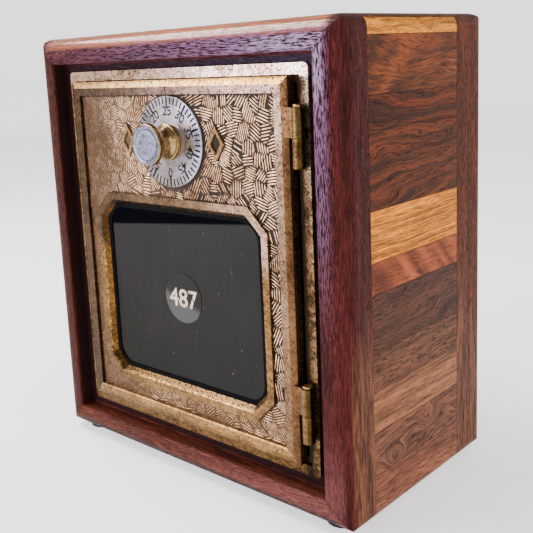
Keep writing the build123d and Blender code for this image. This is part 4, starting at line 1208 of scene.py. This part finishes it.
def add_marks(name, face, **sizes):
    """Put a ring of marks on the face of the dial or its cap. The sizes are the tree's inputs."""
    values = {label.capitalize(): size for label, size in sizes.items()}
    marks = grow(bpy.data.meshes.new(name), mark_tree(), {**values, "Material": ink_paint})
    marks.transform(onto_dial(face))
    link_piece(name, marks, "dial", ink_paint)


ink_paint = dull_paint("black_fill", (0.004, 0.004, 0.005), (0.016, 0.015, 0.015), 0.45, 1.0, 0.01)
divisions = 50
mark_radius = dial_radius - 0.55
add_marks("dial_marks", dial_face, count=divisions, radius=mark_radius, long=4.4, short=2.9,
          width=0.70, depth=0.06)
print(divisions, "marks")

# %% Dial figures
number_size = 5.2
number_radius = 12.2
top_number = 25
joined = bmesh.new()
for step in range(0, divisions, 5):
    number = str((top_number + step) % divisions)
    mesh = flat_text("dial_number_" + number, number, number_size)
    mesh.transform(onto_dial(dial_face, 2 * math.pi * step / divisions, number_radius))
    joined.from_mesh(mesh)
numbers = bpy.data.meshes.new("dial_numbers")
joined.to_mesh(numbers)
joined.free()
link_piece("dial_numbers", numbers, "dial", ink_paint)
print("numbers have", len(numbers.polygons), "faces")

# %% [markdown]
# ## Knob
#
# The knob is turned from brass: a small foot, a hollow waist and a broad rim that is knurled
# for the fingers, with a nickel cap let into its face. A lathe shape is a profile swept round
# an axis, so it is built ring by ring; on the rim's rings the radius goes in and out with the
# angle, and that is the knurling.

# %% Lathe the knob
def lathe(name, rings, sides, teeth=0):
    """Rings of (depth, radius, tooth depth) in mm round the dial's axis, closed at both ends."""
    vertices = []
    faces = []
    for depth, radius, tooth in rings:
        for side in range(sides):
            turn = 2 * math.pi * side / sides
            wave = abs((side * teeth / sides) % 1.0 - 0.5) * 2 if teeth else 0.0
            reach = radius - tooth * wave
            x = dial_centre.x + reach * math.cos(turn)
            z = dial_centre.z + reach * math.sin(turn)
            vertices.append((x * mm, depth * mm, z * mm))
    for ring in range(len(rings) - 1):
        for side in range(sides):
            a = ring * sides + side
            b = ring * sides + (side + 1) % sides
            faces.append((a, b, b + sides, a + sides))
    faces.append(tuple(range(sides)))
    faces.append(tuple(reversed(range((len(rings) - 1) * sides, len(rings) * sides))))
    mesh = bpy.data.meshes.new(name)
    mesh.from_pydata(vertices, [], faces)
    build = bmesh.new()
    build.from_mesh(mesh)
    bmesh.ops.recalc_face_normals(build, faces=build.faces)
    build.to_mesh(mesh)
    build.free()
    mesh.shade_smooth()
    mesh.set_sharp_from_angle(angle=math.radians(38))
    return mesh


knob_low, knob_high = (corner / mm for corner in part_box("knob"))
knob_front = knob_low.y
rim_radius = (knob_high.x - knob_low.x) / 2
foot_radius, foot_thickness = 7.2, 1.9
flare_radius, waist_radius = 6.8, 5.3
rim_edge, rim_thickness = 0.35, 2.3
tooth_depth, tooth_count = 0.28, 64
cap_radius = 7.7
foot_front = dial_face - foot_thickness
rim_back = knob_front + rim_thickness
waist_steps = 14
knob_rings = [
    (dial_face, foot_radius - 0.3, 0), (dial_face - 0.15, foot_radius, 0),
    (foot_front + 0.35, foot_radius, 0), (foot_front + 0.08, foot_radius - 0.2, 0),
    (foot_front, foot_radius - 0.45, 0),
]
for number in range(waist_steps + 1):
    share = number / waist_steps
    depth = foot_front + (rim_back - foot_front) * share - 0.01
    hollow = (flare_radius - waist_radius) * math.sin(math.pi * share)
    knob_rings.append((depth, flare_radius - 0.05 - hollow, 0))
knob_rings += [
    (rim_back, rim_radius - rim_edge - tooth_depth, 0),
    (rim_back - 0.12, rim_radius - 0.18, tooth_depth * 0.4),
    (rim_back - rim_edge, rim_radius, tooth_depth),
    (knob_front + rim_edge + 0.1, rim_radius, tooth_depth),
    (knob_front + 0.16, rim_radius - 0.16, tooth_depth * 0.4),
    (knob_front, rim_radius - 0.42, 0), (knob_front + 0.02, cap_radius + 0.08, 0),
    (knob_front + 0.3, cap_radius + 0.05, 0),
]
knob_paint = lathe_paint("knob_brass", (0.17, 0.10, 0.035), (0.50, 0.34, 0.14), 0.6, 9.0, 0.2, 1.0)
knob_mesh = lathe("turned_knob", knob_rings, tooth_count * 6, tooth_count)
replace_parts(link_piece("turned_knob", knob_mesh, "dial", knob_paint), "knob")
print("knob rim radius", round(rim_radius, 2), "mm")

# %% Knob cap
cap_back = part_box("knob_cap")[1].y / mm
cap_rings = [
    (cap_back, cap_radius, 0), (knob_front + 0.14, cap_radius, 0),
    (knob_front + 0.04, cap_radius - 0.12, 0), (knob_front + 0.02, cap_radius - 0.45, 0),
    (knob_front + 0.10, cap_radius - 0.62, 0), (knob_front + 0.17, cap_radius - 0.80, 0),
    (knob_front + 0.16, 5.0, 0), (knob_front + 0.10, 2.5, 0), (knob_front + 0.06, 0.4, 0),
]
cap_dark, cap_pale = (0.05, 0.052, 0.068), (0.24, 0.242, 0.31)
cap_paint = lathe_paint("cap_nickel", cap_dark, cap_pale, 0.5, 21.0, 0.32, 0.85, mottle=0.8)
cap_mesh = lathe("domed_cap", cap_rings, 96)
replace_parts(link_piece("domed_cap", cap_mesh, "dial", cap_paint), "knob_cap")
add_marks("cap_dots", knob_front + 0.16, count=45, radius=6.35, long=0.5, short=0.5, width=0.34,
          depth=0.05)
print("cap radius", cap_radius, "mm")

# %% [markdown]
# ## Lock and back
#
# Behind the door sit the lock case with its wheels, the glass retainer and the screws. They
# show when the door stands open. The back of the box is a panel with eight steel screws.

# %% Lock pieces
sheet_paint = brass_paint("sheet_brass", *golden, 83.0, grit=0.15, rough=0.3)
works_paint = brass_paint("works_brass", *golden, 97.0, grit=0.1, rough=0.26, blotch=0.4)
brass_works = ("latch_bolt", "fence_lever", "drive_cam", "wheel_post", "wheel_1", "wheel_2",
               "wheel_3", "wheel_spacers")
steel_works = ("lock_case_screws", "cover_screws", "retainer_screws", "back_screws", "cam_nut",
               "lever_pivot", "spindle")
for node in ("lock_case", "lock_cover"):
    eased(node, sheet_paint, 0.2)
for node in brass_works:
    eased(node, works_paint, 0.08, 1)
for node in steel_works:
    eased(node, steel_paint, 0.08, 1)
eased("glass_retainer", steel_paint, 0.15)
for node in ("latch_spring", "lever_spring"):
    finish_node(node, steel_paint)
panel_look = dict(streak=7.0, pores=0.4, wander=5.0, contrast=0.8)
eased("back_panel", board("panel_wood", "Z", (0.19, 0.066, 0.030), 140.0, **panel_look), 0.3)
print("lock and back done")
